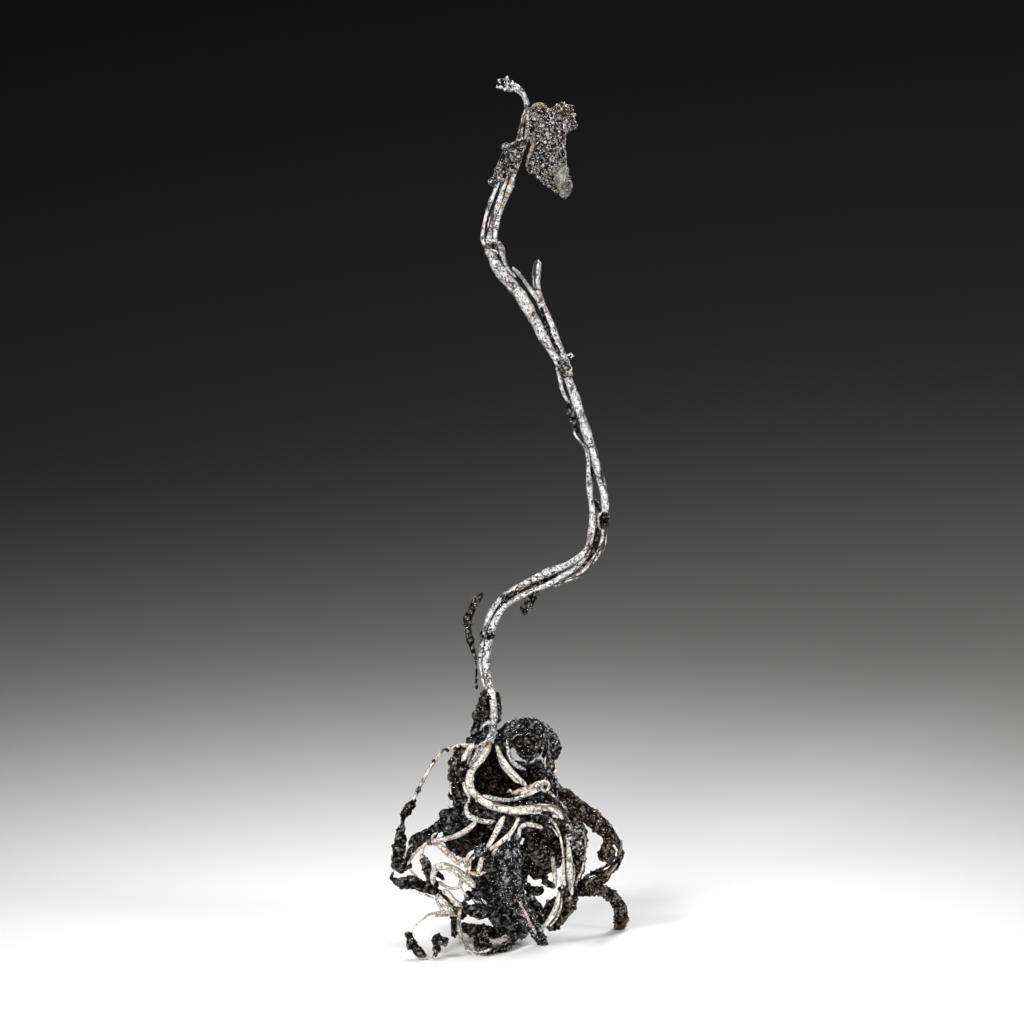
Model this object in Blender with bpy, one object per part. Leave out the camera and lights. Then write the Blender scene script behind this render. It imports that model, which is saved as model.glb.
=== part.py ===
"""Native silver: a standing specimen of wire silver with a black acanthite crust.

A tangle of curled wires carries one long bundle of silver strands, which rises in an S-curve to a
crusted clump and a bright silver tip. Run in Blender 4.5; units are metres and +Z is up.
"""
import math

import bmesh
import bpy
from mathutils import Vector, noise

# ---------------------------------------------------------------- driving dimensions, in metres
SPECIMEN_HEIGHT = 0.0882      # floor to the bright tip, measured along the drawing sheet
CRUST_LUMP = 0.00018          # how far crusted surfaces may swell and sink
SILVER_LUMP = 0.00004         # the same on bare silver
LUMP_SHARE = 0.32             # but a crust never swells by more than this share of its wire's radius
LUMP_SIZE = 0.0011            # distance between the lumps of the crust
LONGEST_STEP = 0.0013         # most distance between two rings of a wire
SHORTEST_STEP = 0.0004        # least distance between two rings of a wire
MOST_TURN = math.radians(24)  # a wire gets a new ring once it has turned by this much
CURVE_PIECES = 8              # short steps between two points of a route
THIN_RADIUS = 0.00036         # wires below this radius have six sides, thicker ones eight
SHARPEST_SMOOTH = math.radians(50)  # edges that turn by more than this are drawn sharp
WELD = 0.000001

# ---------------------------------------------------------------- the drawing sheet
# Every route is drawn on one sheet that leans back a little from upright. A route point is
# (across, down, depth, radius), all in tenths of a millimetre: down runs from the top of the sheet,
# and depth runs from the sheet towards the back.
SHEET_SPAN = 882              # sheet units from the floor line to the tip
SHEET_UNIT = SPECIMEN_HEIGHT / SHEET_SPAN
SHEET_MIDDLE = 508.5          # sheet position of the middle of the specimen
SHEET_FLOOR = 946.1           # sheet position of the floor at depth 0
SHEET_LEAN = math.radians(10)

# ---------------------------------------------------------------- finishes: colour, roughness, metallic
FINISHES = {
    "bright_silver": ((0.78, 0.77, 0.80), 0.32, 1.0),
    "cream_silver": ((0.74, 0.69, 0.58), 0.38, 1.0),
    "green_silver": ((0.62, 0.64, 0.47), 0.40, 1.0),
    "copper_silver": ((0.62, 0.44, 0.34), 0.42, 1.0),
    "grey_crust": ((0.13, 0.13, 0.14), 0.50, 0.4),
    "black_crust": ((0.030, 0.029, 0.030), 0.45, 0.3),
    "brown_crust": ((0.075, 0.045, 0.028), 0.55, 0.2),
}

# ---------------------------------------------------------------- stem and top
RIGHT_STRAND_TOP = [
    (527, 108, 30, 2.8), (527.5, 120, 31, 2.5), (527, 132, 31, 2.4), (525, 143, 30, 2.8),
    (520, 154, 28, 3.4), (517, 165, 26, 3.4), (513, 178, 25, 3.0), (509, 190, 23, 3.0),
    (504, 202, 22, 2.8), (499, 214, 21, 2.6), (496, 228, 21, 2.6), (495, 241, 20, 2.6),
    (500, 250, 19, 2.4), (504, 260, 18, 2.2), (508, 270, 18, 2.0), (514, 276, 18, 1.7)]
LEFT_STRAND_TOP = [
    (526, 111, 28, 2.0), (522.5, 121, 26, 2.3), (520.5, 133, 26, 2.4), (518, 146, 27, 2.8),
    (513, 158, 26, 3.0), (508, 172, 25, 3.0), (503, 190, 22, 3.0), (497, 206, 21, 2.9),
    (491, 220, 20, 2.9), (489, 232, 19, 2.9), (488, 243, 19, 3.2), (490, 254, 19, 4.4),
    (495, 264, 19, 4.9), (501, 273, 20, 5.0), (510, 284, 20, 5.0), (519, 295, 21, 5.0),
    (526, 306, 21, 5.1), (531, 316, 21, 5.2), (537, 327, 22, 4.8), (544, 339, 22, 4.4),
    (551, 350, 23, 4.4), (558, 360, 24, 4.5), (564, 370, 24, 4.8), (569, 381, 24, 4.8),
    (574, 394, 24, 4.8), (579, 409, 25, 4.7), (584, 424, 26, 4.7), (589, 440, 27, 4.7),
    (594, 455, 28, 4.4), (598, 470, 29, 4.2), (602, 485, 30, 4.2), (605, 498, 30, 4.0),
    (605.5, 512, 30, 4.2), (605, 524, 30, 4.2), (603.5, 536, 29, 3.5), (602, 547, 28, 3.1),
    (597, 556, 27, 2.9), (591, 564, 26, 2.4), (581, 575, 24, 1.9), (569, 580, 22, 1.7),
    (556, 585, 20, 1.5)]
THIN_OUTER_STRAND = [
    (501, 176, 21, 2.0), (496, 190, 18, 2.0), (491, 202, 16, 2.0), (486.5, 216, 15, 1.9),
    (483.5, 229, 14, 1.9), (482.5, 240, 14, 1.9), (485, 247, 15, 1.7)]
STRAND_BRIDGE = [(518, 149, 28, 2.2), (523, 145, 29, 2.4), (528, 140, 30, 2.0)]
SIDE_STRAND = [
    (515, 269, 15, 1.4), (521, 275, 16, 1.8), (528, 285, 17, 1.9), (534, 293, 18, 2.0),
    (538, 300, 20, 1.8)]
TWIG_STRAND = [
    (538, 262, 22, 2.6), (536.5, 269, 22, 3.2), (536, 279, 23, 4.2), (537, 292, 24, 4.4),
    (541, 304, 24, 4.1), (547, 316, 24, 4.0), (552, 328, 24, 4.0), (556, 340, 24, 4.0),
    (561, 351, 24, 4.0), (565, 361, 24, 4.0), (568, 372, 24, 3.5)]
THIN_LEFT_STRAND = [
    (557, 368, 23, 2.0), (560, 380, 23, 1.9), (562, 390, 23, 1.8), (567, 400, 24, 1.8),
    (573, 410, 25, 1.7)]
SLIT_STRAND = [
    (586, 446, 26, 1.9), (588, 458, 26, 2.0), (588.5, 471, 26, 2.0), (589.5, 484, 26, 2.0),
    (591.5, 497, 27, 2.3), (593, 508, 28, 3.3), (593.5, 520, 28, 3.8), (591.5, 533, 27, 3.6),
    (589, 546, 26, 3.2), (583, 559, 24, 2.9), (574, 569, 22, 2.8), (562, 577, 20, 2.7),
    (549, 584, 19, 2.7), (535, 590, 17, 2.7), (521, 596, 14, 2.8), (509, 603, 11, 2.9),
    (501, 611, 9, 3.0), (495, 621, 7, 3.3), (490, 634, 6, 3.9), (487, 648, 5, 4.2),
    (486, 662, 4, 4.2), (487, 675, 3, 4.0), (490, 688, 2, 3.8), (493, 701, 1, 3.5),
    (494, 714, 0, 3.4), (493, 726, 0, 3.2), (491, 737, 0, 2.8)]
CRUST_CORE = [
    (596, 502, 28, 2.6), (598, 512, 28, 3.4), (598.5, 524, 28, 3.6), (598, 537, 28, 3.4),
    (595, 549, 27, 2.6)]
UPPER_TURN_STRAND = [
    (590, 545, 25, 2.4), (583, 554, 23, 3.0), (574, 561, 21, 3.3), (562, 567, 19, 3.5),
    (549, 572, 17, 4.1), (538, 577, 15, 3.9), (526, 583, 13, 3.4), (514, 590, 11, 3.2),
    (503, 597, 9, 3.2), (494, 607, 7, 3.0), (488, 619, 5, 2.6), (484, 632, 4, 2.2),
    (481.5, 647, 3, 2.0), (480, 660, 3, 2.0), (481, 673, 3, 2.0), (485, 686, 2, 2.0)]
SLEEVE_CRUST = [
    (512, 147, 27, 6.0), (509, 155, 26, 8.4), (505.5, 166, 25, 9.4), (500.5, 176, 23, 9.2),
    (496.5, 184, 21, 6.6)]
BAND_CRUST = [(561, 358, 24, 5.5), (563, 365, 24, 7.9), (566, 373, 24, 7.9), (569, 381, 24, 5.4)]
STEM_BLACK_PATCH = [(569, 404, 24, 2.6), (571, 413, 24, 3.6), (574, 424, 25, 3.2), (578, 434, 26, 2.2)]
BASE_CRUST = [
    (485, 692, 1, 4.0), (484, 702, 1, 5.6), (481, 713, 0, 5.8), (479, 723, -1, 6.2),
    (477, 733, -2, 7.4), (476, 742, 0, 5.6), (478, 749, 4, 4.4)]

TOP_TIP = [
    (499, 86, 24, 3.4), (502, 87, 24, 6.0), (508, 87.5, 24, 6.6), (513.5, 89, 24, 4.6),
    (518, 91.5, 25, 3.7), (523, 96.5, 26, 3.3), (526, 103.5, 28, 2.5)]
CLUMP_BODY = [
    (540, 111, 34, 6.0), (544, 118, 35, 12.4), (548.5, 132, 36, 16.4), (549, 147, 36, 16.2),
    (549, 161, 36, 18.0), (554, 175, 35, 15.5), (560, 186, 34, 9.5), (563, 192, 34, 6.0),
    (564, 197, 34, 3.6)]
CLUMP_KNOBS = [
    [(549, 118, 34, 7.0), (557, 117, 33, 10.2), (563.5, 116, 33, 9.6), (569, 117, 33, 6.0)],
    [(556, 129, 35, 7.0), (565, 126.5, 35, 10.4), (571.5, 127, 35, 5.6)],
    [(544, 164, 36, 6.0), (536, 167, 36, 7.8), (529, 170.5, 36, 4.6)]]
CLUMP_PRONG = [
    (559, 165, 26, 4.6), (561.5, 173, 24, 6.8), (563.5, 182, 24, 7.2), (565, 190, 26, 6.8),
    (565.5, 196, 28, 4.4)]

HANGING_TWIG = [
    (535, 597, 16, 3.6), (531, 601, 15, 5.0), (528, 606, 14, 5.2), (525, 610, 14, 4.4),
    (525, 614, 14, 3.0)]
DARK_TWIG = [
    (480.5, 596, 8, 2.6), (478, 599, 8, 4.0), (475, 604, 7, 3.4), (471, 612, 6, 3.2),
    (468, 620, 5, 4.2), (469, 630, 4, 2.8), (470, 640, 3, 3.8), (472, 648, 2, 2.8),
    (475, 657, 0, 1.9), (476.5, 668, -2, 1.6), (476.5, 679, -3, 1.6), (476.5, 688, -3, 1.8)]

# ---------------------------------------------------------------- upper part of the tangle
COIL_TURNS = [
    (500, 757, 7, 4.4), (500, 746, 7, 6.0), (503.5, 736, 8, 6.5), (512, 729, 9, 6.6),
    (525, 725.5, 9, 6.5), (537.5, 727.5, 9, 6.6), (546.5, 734, 8, 7.2), (551.5, 742, 7, 8.0),
    (551, 750, 5, 7.4), (545, 756, 2, 5.0)]
COIL_KNOB = [
    (512, 744, -5, 4.2), (518, 743.5, -4, 8.0), (525, 746.5, -3, 12.0), (531, 748, -3, 13.0),
    (537, 748, -2, 10.5), (543, 747, 1, 6.5)]
COIL_COLUMN = [(552, 767, 1, 4.8), (550, 774, 0, 6.2), (549, 782, -2, 6.0), (548, 788, -3, 4.2)]
LEFT_ARCH = [
    (463, 750, -3, 4.2), (458.5, 757, -4, 6.6), (456.5, 768, -5, 7.4), (456.5, 780, -6, 7.6),
    (457.5, 792, -6, 7.2), (458.5, 803, -7, 6.4), (461, 813, -8, 5.5), (466, 823, -9, 4.8),
    (469, 831, -8, 3.6)]
WHITE_STUB = [(472, 747, -12, 3.0), (467, 753, -14, 3.1), (463, 760, -15, 2.5)]
WHITE_BEND_WIRE = [
    (489, 743, -7, 3.2), (487.5, 751, -14, 3.8), (482, 759, -20, 4.1), (475, 767, -25, 4.1),
    (469, 776, -28, 4.0), (469, 787, -31, 4.0), (475, 795, -36, 4.0), (484, 802, -41, 4.0),
    (494, 807, -44, 4.1), (506, 810, -45, 4.1), (519, 811, -46, 4.1), (533, 809, -44, 4.0),
    (546, 808, -40, 4.0), (555, 810, -36, 3.8), (562, 818, -31, 3.0)]
UPPER_THIN_WIRE = [
    (484, 797, -27, 1.8), (495, 799.5, -30, 2.0), (508, 801, -30, 2.0), (519, 798.5, -30, 2.0),
    (531, 794, -27, 1.9), (540, 790, -24, 1.6)]
CREAM_RING_WIRE = [
    (514, 794, -21, 2.2), (522, 791, -21, 3.0), (532, 788, -20, 3.1), (539, 785, -19, 3.2),
    (544, 785.5, -18, 3.8), (546, 788, -18, 2.8)]
GREEN_WHITE_WIRE = [
    (497, 748, -6, 2.6), (500, 757, -12, 3.0), (506, 766, -17, 3.0), (513, 774, -20, 3.0),
    (519, 780, -23, 3.0), (524, 784, -26, 2.6)]
GREEN_WHITE_TWIN = [
    (500, 761, -13, 1.8), (503.5, 768, -16, 2.0), (510, 775.5, -19, 2.0), (517, 782, -23, 2.0)]
SMALL_ARC = [(510, 749, -5, 1.8), (510, 756, -7, 2.1), (513.5, 763, -8, 2.1), (519, 768, -8, 1.8)]
CAVITY_CRUST = [
    (480, 757, 14, 5.5), (484, 765, 21, 10.5), (491, 773, 26, 14.0), (504, 777, 28, 15.5),
    (519, 776, 27, 14.0), (533, 775, 22, 9.5), (540, 775, 20, 5.0)]
CRUST_BAND_WIRE = [
    (468, 812, -20, 4.0), (480, 814, -24, 5.4), (493, 816, -27, 5.6), (507, 819, -28, 5.4),
    (522, 820, -27, 5.6), (537, 821, -25, 6.2), (551, 823, -20, 5.4), (563, 827, -15, 3.6)]

# ---------------------------------------------------------------- left side of the tangle
LEFT_THIN_WIRE = [
    (463, 744.5, -7, 1.5), (453, 748, -5, 1.7), (443, 751, -4, 1.8), (438, 756, -3, 1.8),
    (431, 767, -1, 1.6), (424, 779, 0, 1.5), (418, 791, 1, 1.5), (412, 802, 0, 2.4),
    (408, 809, 0, 4.4), (403, 817, -1, 4.0), (402, 825, -2, 2.3), (400, 833, -3, 4.8),
    (399, 844, -5, 6.2), (398, 854, -6, 6.8), (399.5, 863, -7, 9.2), (401, 873, -9, 6.0)]
LEFT_LOW_WIRE = [
    (392, 876, -12, 1.8), (391, 880, -12, 2.2), (396, 884, -13, 4.2), (403, 885.5, -14, 5.0),
    (411, 883, -17, 6.2), (420, 887, -21, 5.6), (429, 890, -24, 6.8), (436, 892, -26, 5.0)]
LEFT_LOW_STRUT = [(419, 884, -19, 1.6), (415, 878, -16, 1.6), (410, 873, -13, 1.4)]
LEFT_ARM = [
    (411, 846, -13, 4.0), (415, 842, -14, 5.6), (424, 836, -15, 5.4), (433, 831, -15, 5.0),
    (441, 827, -16, 6.2), (447, 824, -17, 9.4), (452, 820, -18, 7.6), (455, 817, -18, 4.0)]
LEFT_ARM_STRUT = [(414, 847, -14, 2.0), (411, 853, -15, 2.0), (409, 860, -17, 1.8)]
PINK_WIRE = [
    (472, 827, -50, 2.0), (467, 831, -49, 2.3), (459, 835, -47, 2.4), (449, 838.5, -43, 2.4),
    (439, 841, -37, 2.4), (431, 842, -33, 2.4)]
PINK_KNOB = [(425, 843, -32, 4.0), (429, 842, -32, 6.2), (433, 843, -33, 4.6)]
PINK_DIAGONAL = [(432, 843, -33, 2.0), (441, 848, -37, 2.3), (449, 855, -41, 2.3), (457, 862.5, -45, 2.0)]
PINK_DROP = [
    (426, 844, -32, 1.7), (422.5, 852, -33, 1.7), (422.5, 860, -34, 2.2), (426, 868, -34, 5.8),
    (427, 877, -33, 4.0)]
LAVENDER_WIRE = [
    (469, 800, -31, 1.5), (466, 809, -36, 1.9), (469, 816, -41, 2.7), (477, 820, -44, 3.0),
    (486, 822, -44, 3.0), (493, 822, -43, 2.4)]
GREEN_CREAM_WIRE = [
    (434, 884, -43, 2.8), (433, 875, -44, 3.3), (438, 867, -46, 3.4), (449, 867, -48, 3.4),
    (459, 872, -50, 3.4), (467, 878, -50, 3.3), (472, 885, -51, 2.8)]
ORANGE_WIRE = [
    (440, 884, -36, 1.7), (446, 888, -37, 1.8), (453, 890, -38, 1.8), (459, 887, -39, 1.8),
    (462, 882, -40, 1.6)]
GREY_ARC = [
    (444, 893, -36, 2.6), (449, 896, -38, 3.0), (453, 902, -39, 3.2), (457, 906, -40, 4.8),
    (460, 908, -40, 3.6)]
CREAM_STRUT = [(436, 900, -32, 1.8), (439, 907, -34, 2.0), (445, 914, -39, 1.9), (451, 912, -40, 1.8),
    (456, 907, -40, 1.8)]
HAIR_WIRE = [
    (448, 916, -46, 1.4), (440, 916, -52, 1.4), (432, 915.5, -60, 1.3), (425, 917, -68, 1.2),
    (419, 921, -74, 1.1), (414, 927, -78, 1.2), (410, 934, -80, 2.8), (411, 941, -80, 4.8),
    (416, 948, -80, 4.4), (422, 954, -80, 4.4), (427, 958, -79, 1.9), (432, 958.5, -78, 1.7),
    (436, 954, -77, 2.8), (437, 947, -77, 3.0), (438, 941, -77, 5.2), (445, 941, -77, 3.8)]

# ---------------------------------------------------------------- middle and front of the tangle
CENTRE_WHITE = [
    (503, 818.5, -50, 2.3), (498, 828, -54, 2.9), (493, 838, -57, 2.9), (488, 847, -58, 2.6)]
CENTRE_CREAM = [
    (518, 820, -52, 2.0), (512, 831, -56, 2.3), (503, 840, -58, 2.3), (494, 847, -59, 2.4),
    (486, 851, -59, 2.4)]
CENTRE_KNOB = [
    (482, 853, -58, 5.0), (486.5, 857, -57, 9.4), (488.5, 862, -56, 9.0), (489, 868, -54, 5.2)]
CENTRE_RING = [
    (481, 850, -62, 1.9), (474, 851, -64, 2.0), (468, 857, -65, 2.1), (466, 867, -65, 2.1),
    (470, 874, -65, 2.1), (478, 874, -64, 2.0), (481, 868, -63, 2.0), (482, 858, -61, 2.0)]
ARCH_WIRE = [
    (519, 836.5, -39, 1.8), (520, 829, -40, 2.2), (526, 825, -40, 2.4), (534, 826, -38, 2.2),
    (541, 828, -34, 1.7)]
CENTRE_CRUST = [
    (530, 836, -3, 8.0), (536, 843, -1, 13.6), (541, 852, 0, 16.4), (543, 863, 0, 15.0),
    (538, 873, -2, 10.0), (534, 880, -3, 6.0)]
HEART_CRUST = [
    (517, 848, 12, 6.0), (511, 859, 18, 9.5), (508, 872, 22, 11.5), (508, 885, 24, 12.5),
    (507, 896, 24, 9.0), (507, 903, 24, 5.5)]
FRONT_COLUMN = [
    (514, 845, -42, 6.5), (511, 850, -46, 10.8), (509.5, 859, -50, 11.8), (509, 869, -52, 12.0),
    (509, 879, -52, 11.8), (511, 890, -50, 11.5), (516, 900, -45, 11.0), (522, 910, -38, 10.0),
    (528.5, 920, -30, 8.6), (534, 930, -22, 7.2), (539, 939, -15, 6.2), (543, 946, -11, 5.4),
    (545, 951, -9, 5.0)]
MIDDLE_CRUST = [(484, 883, -38, 6.5), (487, 889, -38, 11.5), (488, 896, -38, 11.5), (488, 902, -37, 6.5)]
DARK_LEAF = [
    (464, 911, -49, 3.2), (471, 911, -50, 6.8), (480, 912, -51, 8.4), (487, 912, -51, 7.0),
    (493, 912, -50, 3.6)]
LOWER_CRUST = [
    (490, 903, -10, 7.0), (496, 910, -8, 12.6), (506, 921, -5, 15.6), (516, 930, -2, 13.4),
    (525, 938, 1, 7.0)]
LOWER_BAR = [
    (462, 929, -30, 4.4), (473, 932, -35, 6.8), (485, 934, -35, 7.0), (496, 935, -30, 6.0),
    (503, 935, -25, 4.0)]
BOTTOM_LOOP = [
    (473, 944, -55, 6.0), (479, 946, -57, 10.0), (485, 948, -57, 9.6), (491, 951, -54, 5.6),
    (498, 952, -49, 3.8), (505, 949, -41, 3.6), (511, 944, -31, 3.5), (517, 939, -21, 3.0)]
BLACK_POST = [
    (465, 902, -26, 2.0), (462, 909, -24, 3.8), (459, 915, -22, 5.9), (455, 922, -20, 5.4),
    (454.5, 930, -19, 5.4), (454.5, 937, -18, 4.0)]
LOW_GREEN_WIRE = [
    (459, 924, -38, 2.4), (459, 933, -41, 2.8), (461, 942, -45, 2.9), (465, 949, -49, 2.4)]

# ---------------------------------------------------------------- right side of the tangle
RIGHT_ARM = [
    (559, 791, 0, 4.6), (569, 800, 2, 6.6), (579, 810, 4, 8.0), (590, 819, 5, 9.6),
    (602, 829, 6, 9.4), (611, 838, 7, 7.2), (617, 845, 8, 4.4)]
RIGHT_HOOK = [(605, 836, 6, 4.8), (606.5, 845, 6, 5.8), (608, 853, 7, 8.2), (607, 861, 7, 4.6)]
INNER_PARALLEL_WIRE = [
    (550, 793, -12, 1.8), (557, 801, -16, 2.0), (563, 809, -18, 2.0), (569, 818, -17, 1.7)]
RIGHT_INNER_COLUMN = [
    (573, 825, -8, 6.2), (574, 832, -8, 9.6), (576, 842, -8, 10.2), (577, 852, -8, 9.2),
    (580, 860, -6, 6.2), (581, 869, -4, 4.8), (579, 878, -2, 4.2), (576, 885, -1, 2.8)]
INNER_SILVER_WIRE = [
    (567, 844, -27, 2.1), (568.5, 855, -27, 2.5), (569, 867, -27, 2.6), (569.5, 880, -25, 2.5),
    (570, 891, -23, 2.1)]
CREAM_STRAND = [
    (552, 825, -33, 1.5), (557, 829, -33, 1.7), (560, 838, -34, 1.7), (562.5, 850, -34, 1.7),
    (562, 862, -34, 1.7), (563, 875, -33, 1.5)]
RIGHT_BRIDGE = [(541, 873, -17, 1.9), (544, 880, -19, 2.2), (548, 885, -19, 3.0), (553, 887, -18, 3.4)]
RIGHT_BRIDGE_RISER = [
    (553, 861, -18, 1.9), (554.5, 870, -18, 2.3), (555.5, 879, -18, 2.4), (554, 889, -17, 2.4)]
LEAF_LUMP = [(533, 893, -25, 3.4), (537, 893, -25, 5.8), (542, 892, -24, 3.8)]
LOWER_RIGHT_COLUMN = [
    (562, 892, -9, 4.8), (566, 899, -9, 7.2), (565, 908, -9, 7.8), (560, 917, -10, 7.8),
    (554, 925, -10, 6.4), (549, 930, -10, 4.0)]
LOWER_RIGHT_BRANCH = [(558, 903, -9, 3.4), (550, 908, -9, 4.2), (547, 916, -9, 4.0), (540, 925, -8, 3.2)]
SILVER_STRIP = [(558, 898, -21, 2.0), (556, 908, -22, 2.5), (554, 916, -23, 2.6), (546, 925, -24, 2.0)]
YELLOW_GREEN_WIRE = [
    (622, 850, 12, 1.9), (621, 860, 13, 2.2), (617, 869, 15, 2.2), (611, 877, 15, 2.4),
    (604, 883, 14, 4.8), (597, 885, 12, 3.2)]
THIN_BLACK_WIRE = [
    (579, 887, 5, 2.0), (589, 879, 11, 2.2), (599, 874, 18, 2.2), (608, 869, 22, 2.2),
    (615, 862, 24, 1.8)]
RIGHT_TAIL = [
    (577, 896, 6, 4.8), (587, 893.5, 12, 6.9), (598, 893.5, 21, 6.6), (608, 897, 31, 6.3),
    (616, 904, 41, 6.4), (621, 913, 50, 6.8), (622.5, 922, 57, 7.2), (622, 930, 61, 6.6),
    (621, 937, 64, 5.4)]

# ---------------------------------------------------------------- back of the tangle
REAR_LEFT_CRUST = [
    (446, 838, 6, 7.0), (455, 843, 9, 12.8), (469, 846, 12, 16.0), (484, 844, 14, 16.0),
    (498, 840, 16, 11.5), (506, 837, 17, 6.5)]
REAR_FOOT_WIRE = [
    (497, 756, 41, 4.5), (493, 775, 53, 5.6), (486, 795, 57, 6.2), (480, 818, 66, 6.5),
    (479, 842, 70, 6.5), (484, 867, 69, 6.2), (493, 890, 68, 6.2), (502, 911, 67, 6.0),
    (508, 928, 66, 6.0), (511, 940, 65, 6.0)]
REAR_RIGHT_WIRE = [
    (537, 764, 36, 4.2), (545, 779, 43, 5.6), (550, 798, 53, 5.8), (547, 820, 60, 6.0),
    (538, 845, 62, 6.0), (527, 870, 58, 5.8), (519, 893, 48, 5.6), (514, 909, 34, 4.8),
    (511, 919, 23, 4.0)]
REAR_LEFT_WIRE = [
    (467, 778, 22, 3.8), (463, 792, 28, 4.8), (460, 808, 33, 5.4), (460, 828, 37, 5.6),
    (464, 850, 38, 5.4), (475, 871, 35, 5.2), (490, 891, 31, 4.2)]
REAR_CROSS_WIRE = [
    (462, 846, 82, 3.6), (474, 838, 84, 5.0), (492, 833, 86, 5.6), (512, 833, 84, 5.6),
    (533, 840, 75, 5.2), (545, 850, 72, 3.8)]

REAR_TOP_WIRE = [
    (500, 742, 19, 3.8), (508, 734, 27, 5.0), (522, 731, 32, 5.4), (537, 736, 37, 5.4),
    (546, 749, 42, 5.2), (549, 766, 46, 4.2)]
REAR_LOW_WIRE = [
    (472, 874, 45, 4.2), (474, 886, 53, 5.2), (480, 899, 58, 5.6), (488, 909, 60, 4.6)]
REAR_SIDE_WIRE = [
    (558, 803, 42, 4.2), (568, 813, 40, 5.2), (579, 827, 34, 5.6), (584, 842, 25, 5.2),
    (582, 854, 14, 4.4), (580, 862, 6, 3.4)]
REAR_LEFT_BRANCH = [
    (434, 838, 12, 4.4), (425, 842, 15, 5.2), (414, 849, 12, 4.6), (405, 858, 6, 3.4)]
REAR_MIDDLE_WIRE = [
    (507, 792, 42, 4.4), (513, 806, 52, 5.4), (518, 823, 56, 5.6), (516, 842, 52, 5.4),
    (510, 862, 37, 4.4)]


# ---------------------------------------------------------------- building tools
def clear_objects():
    for old in list(bpy.data.objects):
        bpy.data.objects.remove(old, do_unlink=True)


def new_collection(name):
    collection = bpy.data.collections.new(name)
    bpy.context.scene.collection.children.link(collection)
    return collection


def finish_material(name):
    """A Principled material for one of the finishes, made once."""
    material = bpy.data.materials.get(name)
    if material:
        return material
    colour, roughness, metallic = FINISHES[name]
    material = bpy.data.materials.new(name)
    material.use_nodes = True
    shader = material.node_tree.nodes["Principled BSDF"]
    shader.inputs["Base Color"].default_value = (*colour, 1.0)
    shader.inputs["Roughness"].default_value = roughness
    shader.inputs["Metallic"].default_value = metallic
    material.diffuse_color = (*colour, 1.0)
    return material


def place(point):
    """The point of the drawing sheet in metres, and its radius: x right, y to the back, z up."""
    across, down, depth, radius = point
    y = depth * SHEET_UNIT
    rise = (SHEET_FLOOR - down) * SHEET_UNIT
    z = (rise - y * math.sin(SHEET_LEAN)) / math.cos(SHEET_LEAN)
    return Vector(((across - SHEET_MIDDLE) * SHEET_UNIT, y, z, radius * SHEET_UNIT))


def smooth_route(route):
    """Close points on a smooth curve through the route's own points: place and radius together."""
    knots = [place(point) for point in route]
    knots = [2 * knots[0] - knots[1]] + knots + [2 * knots[-1] - knots[-2]]
    points = [knots[1]]
    for before, start, end, after in zip(knots, knots[1:], knots[2:], knots[3:]):
        slope_in = (end - before) / 2
        slope_out = (after - start) / 2
        for index in range(1, CURVE_PIECES + 1):
            t = index / CURVE_PIECES
            points.append((2 * t ** 3 - 3 * t ** 2 + 1) * start + (t ** 3 - 2 * t ** 2 + t) * slope_in
                          + (3 * t ** 2 - 2 * t ** 3) * end + (t ** 3 - t ** 2) * slope_out)
    return points


def ring_points(route):
    """The points of the route that carry a ring: far apart where it runs straight, closer in bends."""
    points = smooth_route(route)
    rings = [points[0]]
    turned = 0.0
    for before, here, after in zip(points, points[1:], points[2:]):
        turned += math.acos(max(-1.0, min(1.0, (here - before).normalized().dot((after - here).normalized()))))
        gone = (here - rings[-1]).length
        if gone > LONGEST_STEP or (gone > SHORTEST_STEP and turned > MOST_TURN):
            rings.append(here)
            turned = 0.0
    if len(rings) > 2 and (points[-1] - rings[-1]).length < SHORTEST_STEP:
        rings.pop()
    return rings + [points[-1]]


def wire_mesh(route, crusted):
    """A closed mesh for one wire: a round tube along its route, with a lumpy or a nearly smooth skin."""
    thickest = max(point[3] for point in route) * SHEET_UNIT
    points = ring_points(route)
    curve = bpy.data.curves.new("wire", "CURVE")
    curve.dimensions = "3D"
    curve.bevel_depth = SHEET_UNIT
    curve.bevel_resolution = 1 if thickest < THIN_RADIUS else 2
    curve.use_fill_caps = True
    curve.twist_mode = "MINIMUM"
    spline = curve.splines.new("POLY")
    spline.points.add(len(points) - 1)
    for point, placed in zip(spline.points, points):
        point.co = (*placed.xyz, 1.0)
        point.radius = placed.w / SHEET_UNIT
    wire = bpy.data.objects.new("wire", curve)
    bpy.context.scene.collection.objects.link(wire)
    evaluated = wire.evaluated_get(bpy.context.evaluated_depsgraph_get())
    mesh = bpy.data.meshes.new_from_object(evaluated)
    bpy.data.objects.remove(wire, do_unlink=True)
    bpy.data.curves.remove(curve)
    lump = min(CRUST_LUMP, LUMP_SHARE * thickest) if crusted else SILVER_LUMP
    weld_and_lump(mesh, lump)
    return mesh


def weld_and_lump(mesh, lump):
    """Close the caps of a tube, and swell and sink its skin by smooth noise."""
    skin = bmesh.new()
    skin.from_mesh(mesh)
    bmesh.ops.remove_doubles(skin, verts=skin.verts, dist=WELD)
    bmesh.ops.recalc_face_normals(skin, faces=skin.faces)
    skin.normal_update()
    shifts = [vert.normal * lump * noise.noise(vert.co / LUMP_SIZE) for vert in skin.verts]
    for vert, shift in zip(skin.verts, shifts):
        vert.co += shift
    skin.to_mesh(mesh)
    skin.free()


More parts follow.
